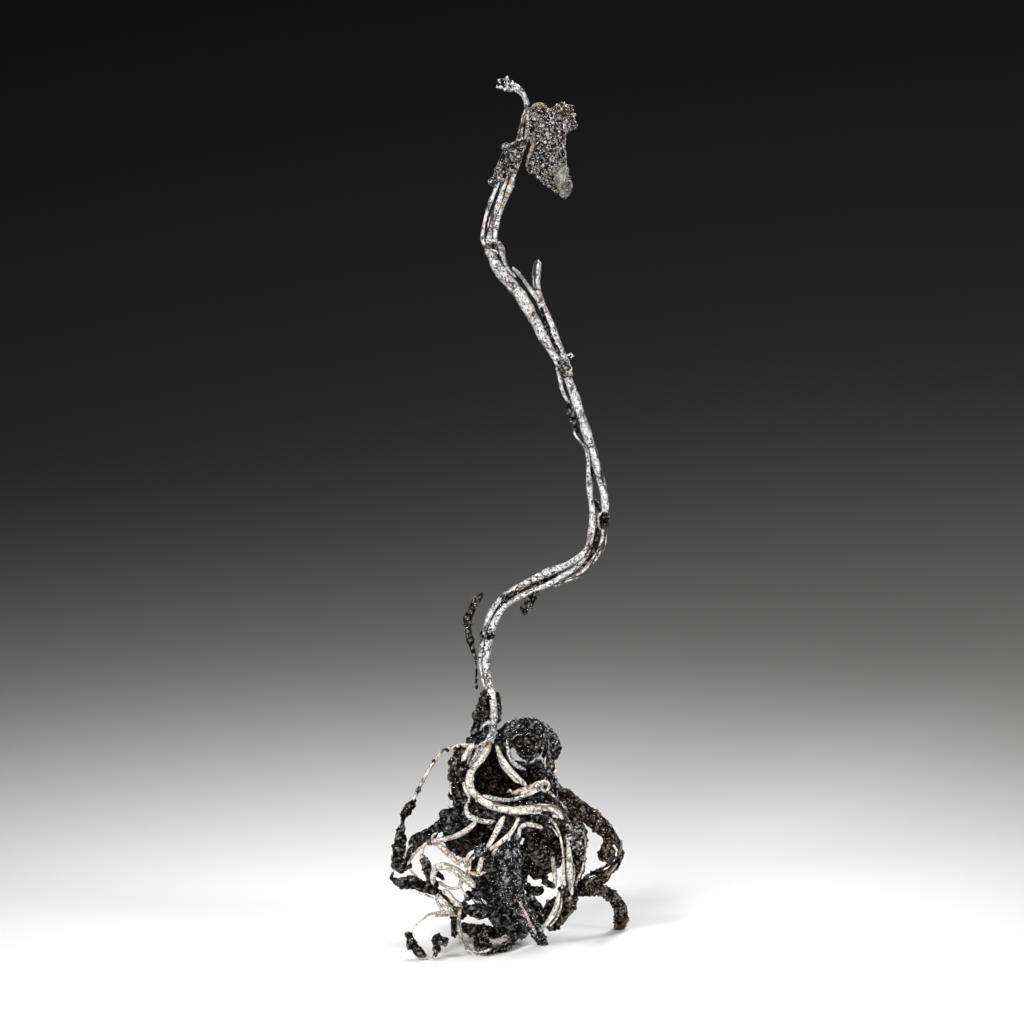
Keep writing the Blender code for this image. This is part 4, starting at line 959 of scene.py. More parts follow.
        "warm": [(516, 160, 15, 6), (510, 176, 14, 6), (561, 362, 16, 5), (567, 372, 16, 5),
                 (563, 370, 16, 5)]}],
}
makePiece(stem)

topTip = {
    "node": "top_tip", "slot": "bright_silver", "crustLook": "silver_popcorn", "reach": (1, 1),
    "wires": 0, "beads": 0.8,
    "silver": [
        [(511, 88.5, 24, 4), (514, 89.5, 24, 4.2), (518, 91.5, 25, 3.7), (523, 96.5, 26, 3.3),
         (526, 103.5, 28, 2.8), (527, 109, 29, 2.6)]],
    "crust": [
        [(499.5, 86, 24, 3.4), (502.5, 87, 24, 5.6), (507.5, 87, 24, 6), (512, 88.5, 24, 4.6)]],
    "knobs": [(501, 84, 22, 3.2), (506, 82.5, 24, 3), (500, 89, 21, 3), (506, 91.5, 22, 3.2),
              (511, 86, 20, 3), (511, 92, 22, 2.6)],
}
makePiece(topTip)

topClump = {
    "node": "top_clump", "slot": "grey_crust", "crustLook": "glitter_crust",
    "silverLook": "dull_green_silver", "wires": 0, "sparkle": 1.7, "beads": 0.28, "grains": 2,
    "coarse": 0.5,
    "warm": [(533, 149, 22, 5), (529, 158, 22, 5), (564, 139, 24, 9), (567, 118, 23, 11, 0.5),
             (556, 110, 26, 9, 0.5), (548, 178, 18, 9), (560, 160, 18, 7), (571, 130, 26, 6, 0.45),
             (563, 150, 20, 7, 0.5), (545, 107, 28, 6, 0.7)],
    "silver": [
        [(558.5, 166, 26, 5.4), (560.5, 174, 24, 8), (562.5, 182.5, 24, 8.8),
         (564.5, 190.5, 26, 7.8), (565.5, 196, 28, 5.2)]],
    "crust": [
        [(540, 111, 34, 6), (544, 118, 35, 12.4), (548.5, 132, 36, 16.4), (549, 147, 36, 16.2),
         (549, 161, 36, 18), (554, 175, 35, 15.5), (560, 186, 34, 9.5), (563, 192, 34, 6),
         (564, 197, 34, 3.6)],
        [(549, 118, 34, 7), (557, 117, 33, 10.2), (563.5, 116, 33, 9.6), (569, 117, 33, 6)],
        [(556, 129, 35, 7), (565, 126.5, 35, 10.4), (571.5, 127, 35, 5.6)],
        [(544, 164, 36, 6), (536, 167, 36, 7.8), (529, 170.5, 36, 4.6)]],
    "fill": [
        [(533, 108, 31, 3.4), (532, 120, 31, 4.6), (534, 133, 31, 5.4), (534, 146, 32, 4.8)],
        [(531, 163, 34, 5.5), (540, 163, 34, 7)]],
    "threads": [
        [(531, 110, 27, 1.6), (536, 107, 28, 1.9), (542, 107, 29, 1.9), (547, 110.5, 30, 1.5)],
        [(563.5, 186.5, 15.5, 1.2), (566, 183, 15.5, 1.3), (570, 183.5, 16, 1.3),
         (571.5, 188, 17, 1.3), (568.5, 191.5, 17, 1.3), (564.5, 190, 16, 1.2),
         (563.5, 186.5, 15.5, 1.1)],
        [(533, 133, 25, 1.6), (534, 142, 25, 1.8), (531, 152, 25, 1.8), (528, 160, 26, 1.6),
         (526, 168, 28, 1.4)]],
    "knobs": [(568, 187, 24, 3.4)],
    "extras": [{
        "crustLook": "glitter_crust", "beads": 0.4, "sparkle": 1.4, "grains": 1.5, "coarse": 0.6,
        "knobs": [(561, 109.5, 29, 5.4), (567.5, 111.5, 30, 5), (570.5, 118, 30, 4.6),
                  (572.5, 126, 31, 4.6), (564, 113, 25, 5.6)],
        "warm": [(565, 112, 24, 9, 0.6), (571, 124, 26, 7, 0.5)]}],
}
makePiece(topClump)

hangingTwig = {
    "node": "hanging_twig", "slot": "black_crust",
    "crust": [
        [(535, 597, 16, 3.6), (531, 601, 15, 5), (528, 606, 14, 5.2), (525, 610, 14, 4.4),
         (525, 614, 14, 3)]],
    "knobs": [(536, 594, 16, 3.6), (532, 599, 14, 4.2), (529, 604, 13, 4.4), (525, 608, 13, 4)],
}
makePiece(hangingTwig)

darkTwig = {
    "node": "dark_twig", "slot": "black_crust", "beads": 0.4, "sparkle": 1.4,
    "crust": [
        [(480.5, 596, 8, 3), (478, 599, 8, 4.6), (475, 604, 7, 3.9), (471, 612, 6, 3.7),
         (468, 620, 5, 4.8), (469, 630, 4, 3.2), (470, 640, 3, 4.4), (472, 648, 2, 3.2),
         (475, 657, 0, 1.9), (476.5, 668, -2, 1.6), (476.5, 679, -3, 1.6), (476.5, 688, -3, 1.8)]],
}
makePiece(darkTwig)

coil = {
    "node": "coil", "slot": "grey_crust", "sparkle": 1.6, "coarse": 0.55, "knobbly": 0.3,
    "beads": 0.2,
    "warm": [(560, 755, 2, 4), (497, 760, 3, 3)],
    "crust": [
        [(498, 757, 7, 4.4), (498.5, 747, 7, 5.6), (501.5, 738, 8, 5.9), (507, 730.5, 8, 5.9),
         (515, 725.5, 9, 5.8), (526, 723.8, 9, 5.7), (537.5, 726, 9, 5.9), (546, 732, 8, 6.4),
         (551.5, 740, 7, 7.2), (553.5, 748, 5, 7.6), (552, 755, 2, 6)]],
    # the inner knob takes the darker black crust as painted shade, where the ring shades it
    "extras": [{
        "crustLook": "black_crust", "sparkle": 1.8, "coarse": 0.8, "knobbly": 0.3,
        "crust": [
            [(512, 743.5, -5, 5), (518, 743.5, -4, 8.4), (525, 746.5, -3, 12.4),
             (531, 748.5, -3, 13.6), (537, 748, -2, 11), (543, 747, 1, 7.5)]],
        "fill": [
            [(518, 745, -5, 9), (525, 748, -6, 13.4), (532, 749.5, -6, 13.8), (539, 748, -3, 9.5)]]}],
    "fill": [
        [(507, 737, 6, 4.6), (508.5, 743, 4, 4.4), (511, 739, 3, 4.6)],
        [(507, 741, 9, 5), (509.5, 746, 8, 5), (512, 742, 6, 5)],
        [(502, 745, 12, 5), (505, 754, 14, 4.6), (507, 762, 14, 4.6)],
        [(507, 741, 16, 4.5), (514, 733, 18, 4.5), (524, 729.5, 18, 4.5), (534, 731, 18, 4.5),
         (542, 737, 17, 5), (547, 745, 14, 6)]],
    "knobs": [(557, 750, 3, 5), (554.5, 757, 3, 4.6)],
}
makePiece(coil)

coilColumn = {
    "node": "coil_column", "slot": "grey_crust", "silverLook": "copper_silver",
    "crust": [
        [(552, 767, 1, 4.8), (550, 774, 0, 6.2), (549, 782, -2, 6), (548, 788, -3, 4.2)]],
    "fill": [
        [(549.5, 760, 3, 5.6), (550, 769, 2, 6.6), (550, 778, 0, 6.8), (553, 787, 1, 6.6),
         (559.5, 795.5, 1, 6.6)],
        [(545, 787, -4, 5.5), (551, 797, -4, 7.5), (559, 808, -5, 7), (566, 818, -6, 5.5)]],
    "threads": [
        [(555, 761, -2, 0.9), (556, 768, -3, 1), (555.5, 776, -4, 1), (556.5, 780, -4, 0.8)],
        [(546, 757, -3, 0.8), (545, 763, -4, 0.9), (546, 769, -4, 0.8)]],
}
makePiece(coilColumn)

leftArch = {
    "node": "left_arch", "slot": "black_crust", "silverLook": "cream_silver",
    "crust": [
        [(463, 750, -3, 4.2), (458.5, 757, -4, 6.6), (456.5, 768, -5, 7.4), (456.5, 780, -6, 7.6),
         (457.5, 792, -6, 7.2), (458.5, 803, -7, 6.4), (461, 813, -8, 5.5), (466, 823, -9, 4.8),
         (469, 831, -8, 3.6)]],
    "fill": [
        [(471, 749, 0, 6), (470, 760, -1, 7.5), (467, 774, -2, 6.5), (465, 788, -4, 6),
         (467, 801, -6, 6.5), (473, 813, -8, 8), (477, 825, -8, 8)]],
    "threads": [
        [(474, 744, -8, 1), (470, 755, -11, 1.1), (467, 766, -9, 1)],
        [(478, 745, -8, 1), (475, 756, -12, 1.1), (469, 768, -11, 1)],
        [(482, 746, -8, 1), (479, 757, -14, 1.1), (473, 767, -13, 1)],
        [(485, 746, -8, 1.1), (483, 755, -14, 1.1), (477, 765, -15, 1)],
        [(463, 783, -14, 1.5), (465, 790, -15, 1.7), (470, 799, -18, 1.6)],
        [(450.5, 783, -10, 0.9), (449.8, 790, -10, 1.1), (451.5, 797, -10, 0.9)],
        [(447.5, 802, -9, 0.8), (449, 810, -9, 1), (452, 818, -10, 1)]],
    "warm": [(457, 813, -12, 5), (455, 774, -12, 5, 0.45)],
    "knobs": [(452, 764, -6, 4.4), (451, 778, -6, 4.6), (452, 796, -7, 4.4), (462, 786, -9, 4.6),
              (464, 770, -8, 4.4)],
}
makePiece(leftArch)

whiteStub = {
    "node": "white_stub", "slot": "bright_silver", "silverLook": "cream_silver", "twist": 0,
    "silver": [
        [(472, 746, -14, 3.2), (467.5, 752.5, -16, 3.4), (463.2, 759.5, -17, 2.9)]],
}
makePiece(whiteStub)

whiteBendWire = {
    "node": "white_bend_wire", "slot": "cream_silver",
    "warm": [(489, 745, -12, 7, 0.8), (485, 754, -18, 5, 0.4)],
    "silver": [
        [(489, 743, -7, 2.6), (487.5, 751, -14, 3), (482, 759, -20, 3.4), (475, 767, -25, 3.5),
         (469.5, 776, -28, 3.6), (469, 787, -31, 3.8), (475, 795, -36, 4), (484, 802, -41, 4),
         (494, 807, -44, 4.1), (506, 810, -45, 4.1), (519, 811, -46, 4.1), (533, 809, -44, 4),
         (546, 808, -40, 4), (555, 810, -36, 3.8), (562, 818, -31, 3)]],
}
makePiece(whiteBendWire)

upperThinWire = {
    "node": "upper_thin_wire", "slot": "bright_silver",
    "silver": [
        [(484, 797, -27, 1.8), (495, 799.5, -30, 2), (508, 801, -30, 2), (519, 798.5, -30, 2),
         (531, 794, -27, 1.9), (540, 790, -24, 1.6)]],
}
makePiece(upperThinWire)

creamRingWire = {
    "node": "cream_ring_wire", "slot": "cream_silver",
    "silver": [
        [(514, 794, -21, 2.2), (522, 791, -21, 3), (532, 788, -20, 3.1), (539, 785, -19, 3.2),
         (544, 785.5, -18, 3.8), (546, 788, -18, 2.8)]],
    "threads": [
        [(541, 784, -23, 1.3), (544.5, 781.5, -23, 1.5), (548.5, 784, -23, 1.6),
         (549, 788.5, -23, 1.6), (545.5, 792, -23, 1.5), (541.5, 790, -23, 1.4),
         (540.5, 786, -23, 1.2)],
        [(519, 795, -24, 1.6), (527, 793, -24, 1.8), (535, 791, -24, 1.8), (541, 790, -23, 1.5)],
        [(507, 793.5, -24, 1.4), (510, 791, -25, 1.5), (512, 794, -25, 1.3)]],
    "knobs": [(545, 787, -19, 3)],
    "warm": [(530, 789, -24, 4), (545, 782, -24, 3), (520, 793, -24, 4)],
}
makePiece(creamRingWire)

greenWhiteWire = {
    "node": "green_white_wire", "slot": "green_silver",
    "silver": [
        [(497, 748, -6, 2.1), (500.5, 757, -12, 2.5), (506.5, 766, -17, 2.6),
         (513.5, 774, -20, 2.6), (519.5, 780, -23, 2.5), (524.5, 784.5, -26, 2.2)],
        [(500, 761, -13, 1.8), (503.5, 768, -16, 2), (510, 775.5, -19, 2), (517, 782, -23, 2)]],
    "fill": [
        [(497, 757, -8, 2), (502, 767, -13, 2.2), (509, 776, -17, 2.2), (516, 783, -20, 2.2)]],
}
makePiece(greenWhiteWire)

smallArc = {
    "node": "small_arc", "slot": "bright_silver",
    "silver": [
        [(507, 743, -4, 1.2), (507.8, 749, -6, 1.7), (509, 756, -8, 2.2), (512.5, 762.5, -9, 2.4),
         (518, 767.5, -9, 2.2), (524, 770, -8, 1.4)]],
}
makePiece(smallArc)

cavityCrust = {
    "node": "cavity_crust", "slot": "black_crust", "crustLook": "shade_crust",
    "crust": [
        [(480, 757, 14, 5.5), (484, 765, 21, 10.5), (491, 773, 26, 14), (504, 777, 28, 15.5),
         (519, 776, 27, 14), (533, 775, 22, 9.5), (540, 775, 20, 5)]],
    "fill": [
        [(492, 746, 10, 6), (491, 757, 15, 9), (487, 770, 17, 10), (482, 784, 16, 9),
         (485, 797, 14, 7)],
        [(487, 796, 10, 7), (500, 799, 14, 9), (515, 799, 16, 9), (530, 796, 15, 9),
         (543, 792, 12, 8)],
        [(505, 764, 14, 7), (517, 772, 14, 8), (531, 779, 13, 9), (542, 783, 10, 8)],
        [(489, 790, 4, 3), (494, 787, 3, 4), (500, 791, 2, 3.6), (507, 793, 2, 3.4),
         (513, 793, 2, 3)]],
    "warm": [(520, 777, 14, 5), (505, 772, 14, 4)],
}
makePiece(cavityCrust)

crustBandWire = {
    "node": "crust_band_wire", "slot": "black_crust",
    "crust": [
        [(468, 812, -20, 4), (480, 814, -24, 5.4), (493, 816, -27, 5.6), (507, 819, -28, 5.4),
         (522, 820, -27, 5.6), (537, 821, -25, 6.2), (551, 823, -20, 5.4), (563, 827, -15, 3.6)]],
    "fill": [
        [(477, 803, -16, 5), (494, 806, -18, 6.5), (514, 807, -20, 7), (534, 805, -18, 7),
         (549, 803, -14, 7.5), (560, 808, -9, 7)],
        [(486, 823, -20, 5), (502, 827, -20, 6.5), (520, 828, -16, 7), (538, 828, -14, 7),
         (552, 829, -12, 7)]],
}
makePiece(crustBandWire)

leftThinWire = {
    "node": "left_thin_wire", "slot": "black_crust", "silverLook": "cream_silver",
    "crust": [
        [(412, 802, 0, 2.4), (408, 809, 0, 4.4), (403, 817, -1, 4), (402, 825, -2, 2.3),
         (400, 833, -3, 4.8), (399, 844, -5, 6.2), (398, 854, -6, 6.8), (399.5, 863, -7, 9.2),
         (401, 873, -9, 6)]],
    "silver": [
        [(474, 746.5, -8, 1.3), (463, 745.5, -7, 1.6), (453, 748, -5, 1.6), (443, 751, -4, 1.4),
         (438, 756.5, -3, 1.9), (431, 767, -1, 1.9), (424, 779, 0, 1.9), (418, 791, 1, 1.7),
         (413, 801, 0, 1.5)]],
    "knobs": [(455, 749, -5, 2.2), (461, 747.5, -7, 2.2), (411, 807, 0, 4.2), (407, 814, 0, 4.4),
              (414, 803, 1, 2.4), (394, 867, -7, 4.4), (406, 859, -7, 4.6), (408, 868, -9, 4),
              (396, 861, -7, 5)],
    "fill": [
        [(400.5, 834, -4, 5.4), (400, 843, -5, 6.4), (398.5, 852, -6, 5.6), (399, 863, -8, 8.6),
         (403, 871, -9, 5.5)],
        [(412, 802, 0.5, 2), (418, 791, 0.8, 1.9), (423, 781, 0.4, 1.4), (427, 774, -0.5, 0.9)],
        [(436, 759, -3, 1.6), (433.5, 763, -2.4, 2.1), (431, 767, -2, 1.4)],
        [(449, 749.5, -5, 1.6), (444, 750.8, -5, 1.8), (440, 753, -4, 1.3)]],
}
makePiece(leftThinWire)

leftLowWire = {
    "node": "left_low_wire", "slot": "black_crust", "silverLook": "cream_silver",
    "silver": [
        [(419, 884, -19, 1.6), (415, 878, -16, 1.6), (410, 873, -13, 1.4)]],
    "crust": [
        [(392, 876, -12, 1.8), (391, 880, -12, 2.2), (396, 884, -13, 4.2), (403, 885.5, -14, 5),
         (411, 883, -17, 6.2), (420, 887, -21, 5.6), (429, 890, -24, 6.8), (436, 892, -26, 5)]],
    "fill": [
        [(396, 884, -13, 5.4), (404, 885.5, -15, 6.2), (412, 885, -18, 6.4), (421, 888, -22, 6.4),
         (430, 891, -25, 6.8)],
        [(434, 893, -26, 5), (441, 897, -30, 4.2), (447, 903, -34, 3.8), (452, 909, -37, 3.8)]],
    "threads": [
        [(391, 877, -12, 1.4), (391.5, 873.5, -12, 1.4), (394, 872, -12, 1.3),
         (396, 874, -12, 1.2)],
        [(436, 896, -32, 1.8), (442, 900, -34, 1.8), (448, 906, -38, 1.7), (454, 912, -41, 1.5)],
        [(418, 894, -24, 1.2), (426, 897, -27, 1.2), (434, 900, -30, 1.2)]],
}
makePiece(leftLowWire)

leftArm = {
    "node": "left_arm", "slot": "black_crust", "silverLook": "copper_silver", "sparkle": 1.6,
    "crust": [
        [(411, 846, -13, 4), (415, 842, -14, 5.6), (424, 836, -15, 5.4), (433, 831, -15, 5),
         (441, 827, -16, 6.2), (447, 824, -17, 9.4), (452, 820, -18, 7.6), (455, 817, -18, 4)],
        [(414, 847, -14, 2.4), (412, 853, -15, 2.2)]],
    "fill": [
        [(412, 846, -12, 4.4), (418, 841, -13, 6.2), (427, 835, -14, 6), (436, 831, -15, 5.4)]],
    "extras": [{
        "crustLook": "jet_crust", "grains": 0.35, "sparkle": 1.5, "coarse": 0.8,
        "knobs": [(449, 823, -19, 10), (446, 817, -17, 7.5), (453, 828, -18, 7.5),
                  (444, 826, -18, 6), (452, 814, -17, 5.5)]}],
    "silver": [
        [(411, 846, -17, 0.9), (406.5, 851, -17, 0.9), (404.5, 858, -15, 0.9)],
        [(419, 850, -17, 1.3), (413, 857, -18, 1.2), (408, 865, -16, 1.3)]],
}
makePiece(leftArm)

pinkWire = {
    "node": "pink_wire", "slot": "copper_silver",
    "silver": [
        [(476, 821.5, -50, 1.8), (473, 825, -50, 2.4), (467, 830.5, -49, 2.6), (459, 835, -47, 2.8),
         (449, 838.5, -43, 2.8), (439, 841, -37, 2.7), (431, 842, -33, 2.6)],
        [(432, 843, -33, 2.4), (441, 848, -37, 2.8), (449, 855, -41, 2.8), (458, 864, -45, 2.5)]],
    "crust": [
        [(425, 842, -32, 3.2), (429, 842, -32, 4.6), (432, 843, -33, 3.6)],
        [(422.5, 858, -34, 2.2), (425, 864, -34, 4.8), (427, 871, -34, 5), (428, 877, -33, 4)]],
    "fill": [
        [(428, 874, -34, 5), (430, 880, -34, 4.8), (432, 886, -34, 3.6)],
        [(437, 872, -36, 2.6), (440, 877, -37, 3), (445, 881, -38, 1.6)]],
    "threads": [
        [(428, 843, -35, 1.6), (423.5, 846.5, -35, 1.8), (421.5, 853, -35, 1.9),
         (422.5, 860, -35, 1.5)],
        [(431, 839, -38, 1.4), (434, 835, -38, 1.4), (437, 833.5, -38, 1)],
        [(457, 862.5, -50, 2.2), (461, 861, -52, 2.3), (466, 858.5, -55, 2)]],
}
makePiece(pinkWire)

lavenderWire = {
    "node": "lavender_wire", "slot": "bright_silver",
    "silver": [
        [(469, 800, -31, 1.5), (466, 809, -36, 1.9), (469, 816, -41, 2.7), (477, 820, -44, 3),
         (486, 822, -44, 3), (493, 822, -43, 2.4)]],
}
makePiece(lavenderWire)

greenCreamWire = {
    "node": "green_cream_wire", "slot": "green_silver",
    "silver": [
        [(433, 883, -43, 2.8), (433, 875, -44, 3.4), (438, 867.5, -46, 3.5), (449, 867.5, -48, 3.6),
         (459, 872.5, -50, 3.7), (467, 879, -50, 3.8), (473, 886, -51, 3.4)]],
    "fill": [
        [(472, 884, -46, 4), (477, 890, -44, 5)],
        [(434, 882, -40, 3.4), (437, 888, -36, 3.4)]],
    "threads": [
        [(447, 871, -46, 1.2), (456, 875, -49, 1.4), (464, 881, -51, 1.4), (470, 888, -51, 1.2)],
        [(462, 878, -46, 1.8), (460, 886, -44, 1.8), (463, 893, -43, 1.6), (468, 898, -43, 1.3)]],
}
makePiece(greenCreamWire)

orangeWire = {
    "node": "orange_wire", "slot": "copper_silver",
    "silver": [
        [(440, 884, -36, 1.7), (446, 888, -37, 1.8), (453, 890, -38, 1.8), (459, 887, -39, 1.8),
         (462, 882, -40, 1.6)]],
}
makePiece(orangeWire)

greyArc = {
    "node": "grey_arc", "slot": "bright_silver", "silverLook": "cream_silver", "wires": 0,
    "silver": [
        [(444, 893, -36, 2.6), (449, 896, -38, 3), (453, 902, -39, 3.2), (457, 906, -40, 4.8),
         (460, 908, -40, 3.6)],
        [(436, 900, -32, 1.8), (439, 907, -34, 2), (445, 914, -39, 1.9), (451, 912, -40, 1.8),
         (456, 907, -40, 1.8)]],
    "fill": [
        [(452, 906, -38, 3.6), (457, 909, -39, 5.4), (461, 914, -38, 4.6), (462, 921, -37, 3.8)]],
    "threads": [
        [(460, 908, -42, 1.8), (459, 916, -42, 2), (458, 924, -42, 2)],
        [(441, 905, -36, 1.2), (447, 909, -39, 1.2), (453, 911, -41, 1.2)]],
}
makePiece(greyArc)

hairWire = {
    "node": "hair_wire", "slot": "black_crust", "silverLook": "cream_silver",
    "crust": [
        [(410, 934, -80, 2.8), (411, 941, -80, 4.8), (416, 948, -80, 4.4), (422, 954, -80, 4.2),
         (425, 957, -79, 2)],
        [(434.5, 956, -77, 2.6), (437, 947, -77, 3.4), (438, 941, -77, 5.2), (445, 941, -77, 3.8)]],
    "silver": [
        [(453, 915, -42, 1.7), (445, 913.5, -48, 1.8), (437, 913.5, -55, 1.7), (429, 915, -63, 1.3),
         (424.5, 918, -68, 0.9)],
        [(455, 917, -42, 1.1), (446, 916.5, -48, 1.1), (437, 916.5, -55, 1)],
        [(424.5, 918, -68, 0.8), (419, 922, -74, 0.7), (414, 928, -78, 0.7), (411, 935, -80, 0.9)],
        [(423, 956, -80, 1.3), (427, 958.5, -79, 1.5), (432, 958.8, -78, 1.5),
         (435, 955, -77, 1.4)]],
    "knobs": [(409, 935, -80, 4.2), (412, 944, -80, 5.4), (418, 951, -80, 5.2),
              (438, 940, -77, 6.2), (444, 941, -77, 4.6), (437, 949, -77, 4.4)],
}
makePiece(hairWire)

centreKnot = {
    "node": "centre_knot", "slot": "cream_silver",
    "silver": [
        [(503, 818.5, -50, 2.3), (498, 828, -54, 2.9), (493, 838, -57, 2.9), (488, 847, -58, 2.6)],
        [(518, 820, -52, 2), (512, 831, -56, 2.3), (503, 840, -58, 2.3), (494, 847, -59, 2.4),
         (486, 851, -59, 2.4)],
        [(478, 850, -64, 1.8), (472, 852, -66, 2), (467.5, 857.5, -67, 2.1), (466.5, 866, -67, 2),
         (468.5, 872.5, -67, 1.9)],
        [(468.5, 872, -68, 1.7), (473, 873.3, -69, 1.9), (478, 874, -69, 1.9),
         (483, 872.5, -68, 1.6)],
        [(482, 856, -66, 1.9), (480.8, 862, -68, 2.3), (479.5, 868, -69, 2.4),
         (478, 873, -69, 2.2)],
        [(474, 857, -66, 1.3), (470.5, 860, -68, 1.5), (470, 865, -68, 1.5),
         (469.5, 870, -68, 1.4)]],
    "crust": [
        [(482, 853, -58, 5), (486.5, 857, -57, 9.4), (488.5, 862, -56, 9), (489, 868, -54, 5.2)]],
    "fill": [
        [(482, 851, -55, 6), (488, 857, -54, 9.4), (491, 864, -50, 9.4), (492, 872, -46, 8),
         (494, 882, -42, 6)],
        [(474, 860, -56, 6.5), (474, 868, -56, 7), (478, 876, -52, 7)]],
    "extras": [{
        "crustLook": "grey_crust", "sparkle": 1.6,
        "knobs": [(482, 852, -63, 7.2), (477.5, 850.5, -62, 4.6), (487, 855, -61, 5.4),
                  (483, 847, -60, 3.6)]}],
    "threads": [
        [(490.5, 861.5, -66, 1.2), (492, 862.5, -66, 1.3)],
        [(498, 846, -57, 1.6), (494, 852, -60, 1.8), (491, 858, -60, 1.6)]],
    "warm": [(473, 873, -70, 6, 0.7), (470, 865, -69, 4, 0.6), (480, 862, -69, 4, 0.5),
             (508, 834, -60, 5, 0.5), (497, 845, -60, 5, 0.5)],
}
makePiece(centreKnot)

archWire = {
    "node": "arch_wire", "slot": "cream_silver",
    "silver": [
        [(519, 836.5, -39, 1.8), (520, 829, -40, 2.2), (526, 825, -40, 2.4), (534, 826, -38, 2.2),
         (541, 828, -34, 1.7)]],
}
makePiece(archWire)

centreCrust = {
    "node": "centre_crust", "slot": "black_crust", "sparkle": 1.6,
    "crust": [
        [(530, 836, -3, 8), (536, 843, -1, 13.6), (541, 852, 0, 16.4), (543, 863, 0, 15),
         (538, 873, -2, 10), (534, 880, -3, 6)]],
    "fill": [
        [(518, 838, 0, 7), (527, 832, 2, 9), (540, 832, 2, 10), (551, 838, 2, 9), (557, 848, 2, 7),
         (558, 860, 0, 6), (556, 871, -2, 5)],
        [(527, 846, 2, 10), (528, 860, 2, 10), (529, 873, 2, 8)]],
}
makePiece(centreCrust)

heartCrust = {
    "node": "heart_crust", "slot": "black_crust",
    "crust": [
        [(517, 848, 12, 6), (511, 859, 18, 9.5), (508, 872, 22, 11.5), (508, 885, 24, 12.5),
         (507, 896, 24, 9), (507, 903, 24, 5.5)]],
}
makePiece(heartCrust)

frontColumn = {
    "node": "front_column", "slot": "grey_crust", "silverLook": "copper_silver", "sparkle": 1.8,
    "crust": [
        [(514, 845, -42, 6.5), (511, 850, -46, 10.8), (509.5, 859, -50, 11.8), (509, 869, -52, 12),
         (509, 879, -52, 11.8), (511, 890, -50, 11.5), (516, 900, -45, 11), (522, 910, -38, 10),
         (528.5, 920, -30, 8.6), (534, 930, -22, 7.2), (539, 939, -15, 6.2), (543, 946, -11, 5.4),
         (545, 951, -9, 5)]],
    "warm": [(516, 898, -56, 9, 0.5), (522, 908, -48, 9, 0.5), (530, 925, -34, 8, 0.5),
             (512, 885, -62, 7, 0.4)],
    "bare": [(525, 917, -46, 4.5, 0.7), (529, 927, -38, 4.5, 0.7), (534, 936, -30, 3.5, 0.6),
             (521, 906, -52, 4, 0.6)],
    "threads": [
        [(518, 900, -56, 1.2), (524, 912, -47, 1.5), (530, 924, -38, 1.5), (536, 936, -28, 1.3)]],
}
makePiece(frontColumn)

middleCrust = {
    "node": "middle_crust", "slot": "grey_crust",
    "crust": [
        [(484, 883, -38, 6.5), (487, 889, -38, 11.5), (488, 896, -38, 11.5), (488, 902, -37, 6.5)]],
    "fill": [
        [(478, 884, -34, 7), (480, 893, -34, 9), (483, 903, -32, 9), (490, 911, -26, 9)],
        [(470, 893, -30, 5), (466, 902, -28, 4.5)]],
    "threads": [
        [(482, 900, -50, 1.4), (487, 906, -48, 1.5), (493, 913, -45, 1.4)],
        [(474, 901, -46, 1.8), (480, 904, -46, 1.8), (484, 908, -45, 1.5)]],
}
makePiece(middleCrust)

darkLeaf = {
    "node": "dark_leaf", "slot": "black_crust",
    "crust": [
        [(464, 911, -49, 3.2), (471, 911, -50, 6.8), (480, 912, -51, 8.4), (487, 912, -51, 7),
         (493, 912, -50, 3.6)]],
}
makePiece(darkLeaf)

lowerCrust = {
    "node": "lower_crust", "slot": "grey_crust",
    "crust": [
        [(490, 903, -10, 7), (496, 910, -8, 12.6), (506, 921, -5, 15.6), (516, 930, -2, 13.4),
         (525, 938, 1, 7)]],
}
makePiece(lowerCrust)

lowerBar = {
    "node": "lower_bar", "slot": "black_crust",
    "crust": [
        [(462, 929, -30, 4.4), (473, 932, -35, 6.8), (485, 934, -35, 7), (496, 935, -30, 6),
         (503, 935, -25, 4)]],
}
makePiece(lowerBar)

bottomLoop = {
    "node": "bottom_loop", "slot": "black_crust", "silverLook": "cream_silver",
    "crust": [
        [(476, 944, -55, 5.4), (480, 946, -57, 9.4), (485, 948, -57, 9.2), (491, 951, -54, 4.6),
         (498, 951.5, -49, 3.2), (503, 949.5, -44, 4.4), (507, 947.5, -39, 5), (510, 945, -35, 3.6),
         (514, 941, -28, 3), (518, 937.5, -21, 2.8)]],
    "fill": [
        [(478, 930, -38, 6), (481, 938, -42, 7), (484, 946, -50, 7.6)],
        [(472, 927, -38, 5.5), (475, 935, -42, 5)]],
    "threads": [
        [(466, 950, -54, 1.6), (472, 954, -57, 1.8), (480, 956.3, -60, 1.7), (487, 955, -62, 1.5)],
        [(472, 951, -60, 1.2), (478, 953, -64, 1.2), (486, 951.5, -66, 1.2), (491, 949, -64, 1)],
        [(495, 946, -44, 0.8), (496.5, 942, -38, 1), (502, 939.5, -30, 1.1), (509, 940, -24, 1),
         (514, 939, -20, 0.9)]],
}
makePiece(bottomLoop)

blackPost = {
    "node": "black_post", "slot": "black_crust",
    "crust": [
        [(465, 902, -26, 2), (462, 909, -24, 3.8), (459, 915, -22, 5.9), (455, 922, -20, 5.4),
         (454.5, 930, -19, 5.4), (454.5, 937, -18, 4)]],
}
makePiece(blackPost)

lowGreenWire = {
    "node": "low_green_wire", "slot": "green_silver", "wires": 1,
    "silver": [
        [(458.5, 921, -42, 2.4), (459, 929, -44, 2.6), (460.5, 937, -47, 2.8), (464, 945, -51, 2.8),
         (469.5, 952, -54, 2.4)]],
}
makePiece(lowGreenWire)

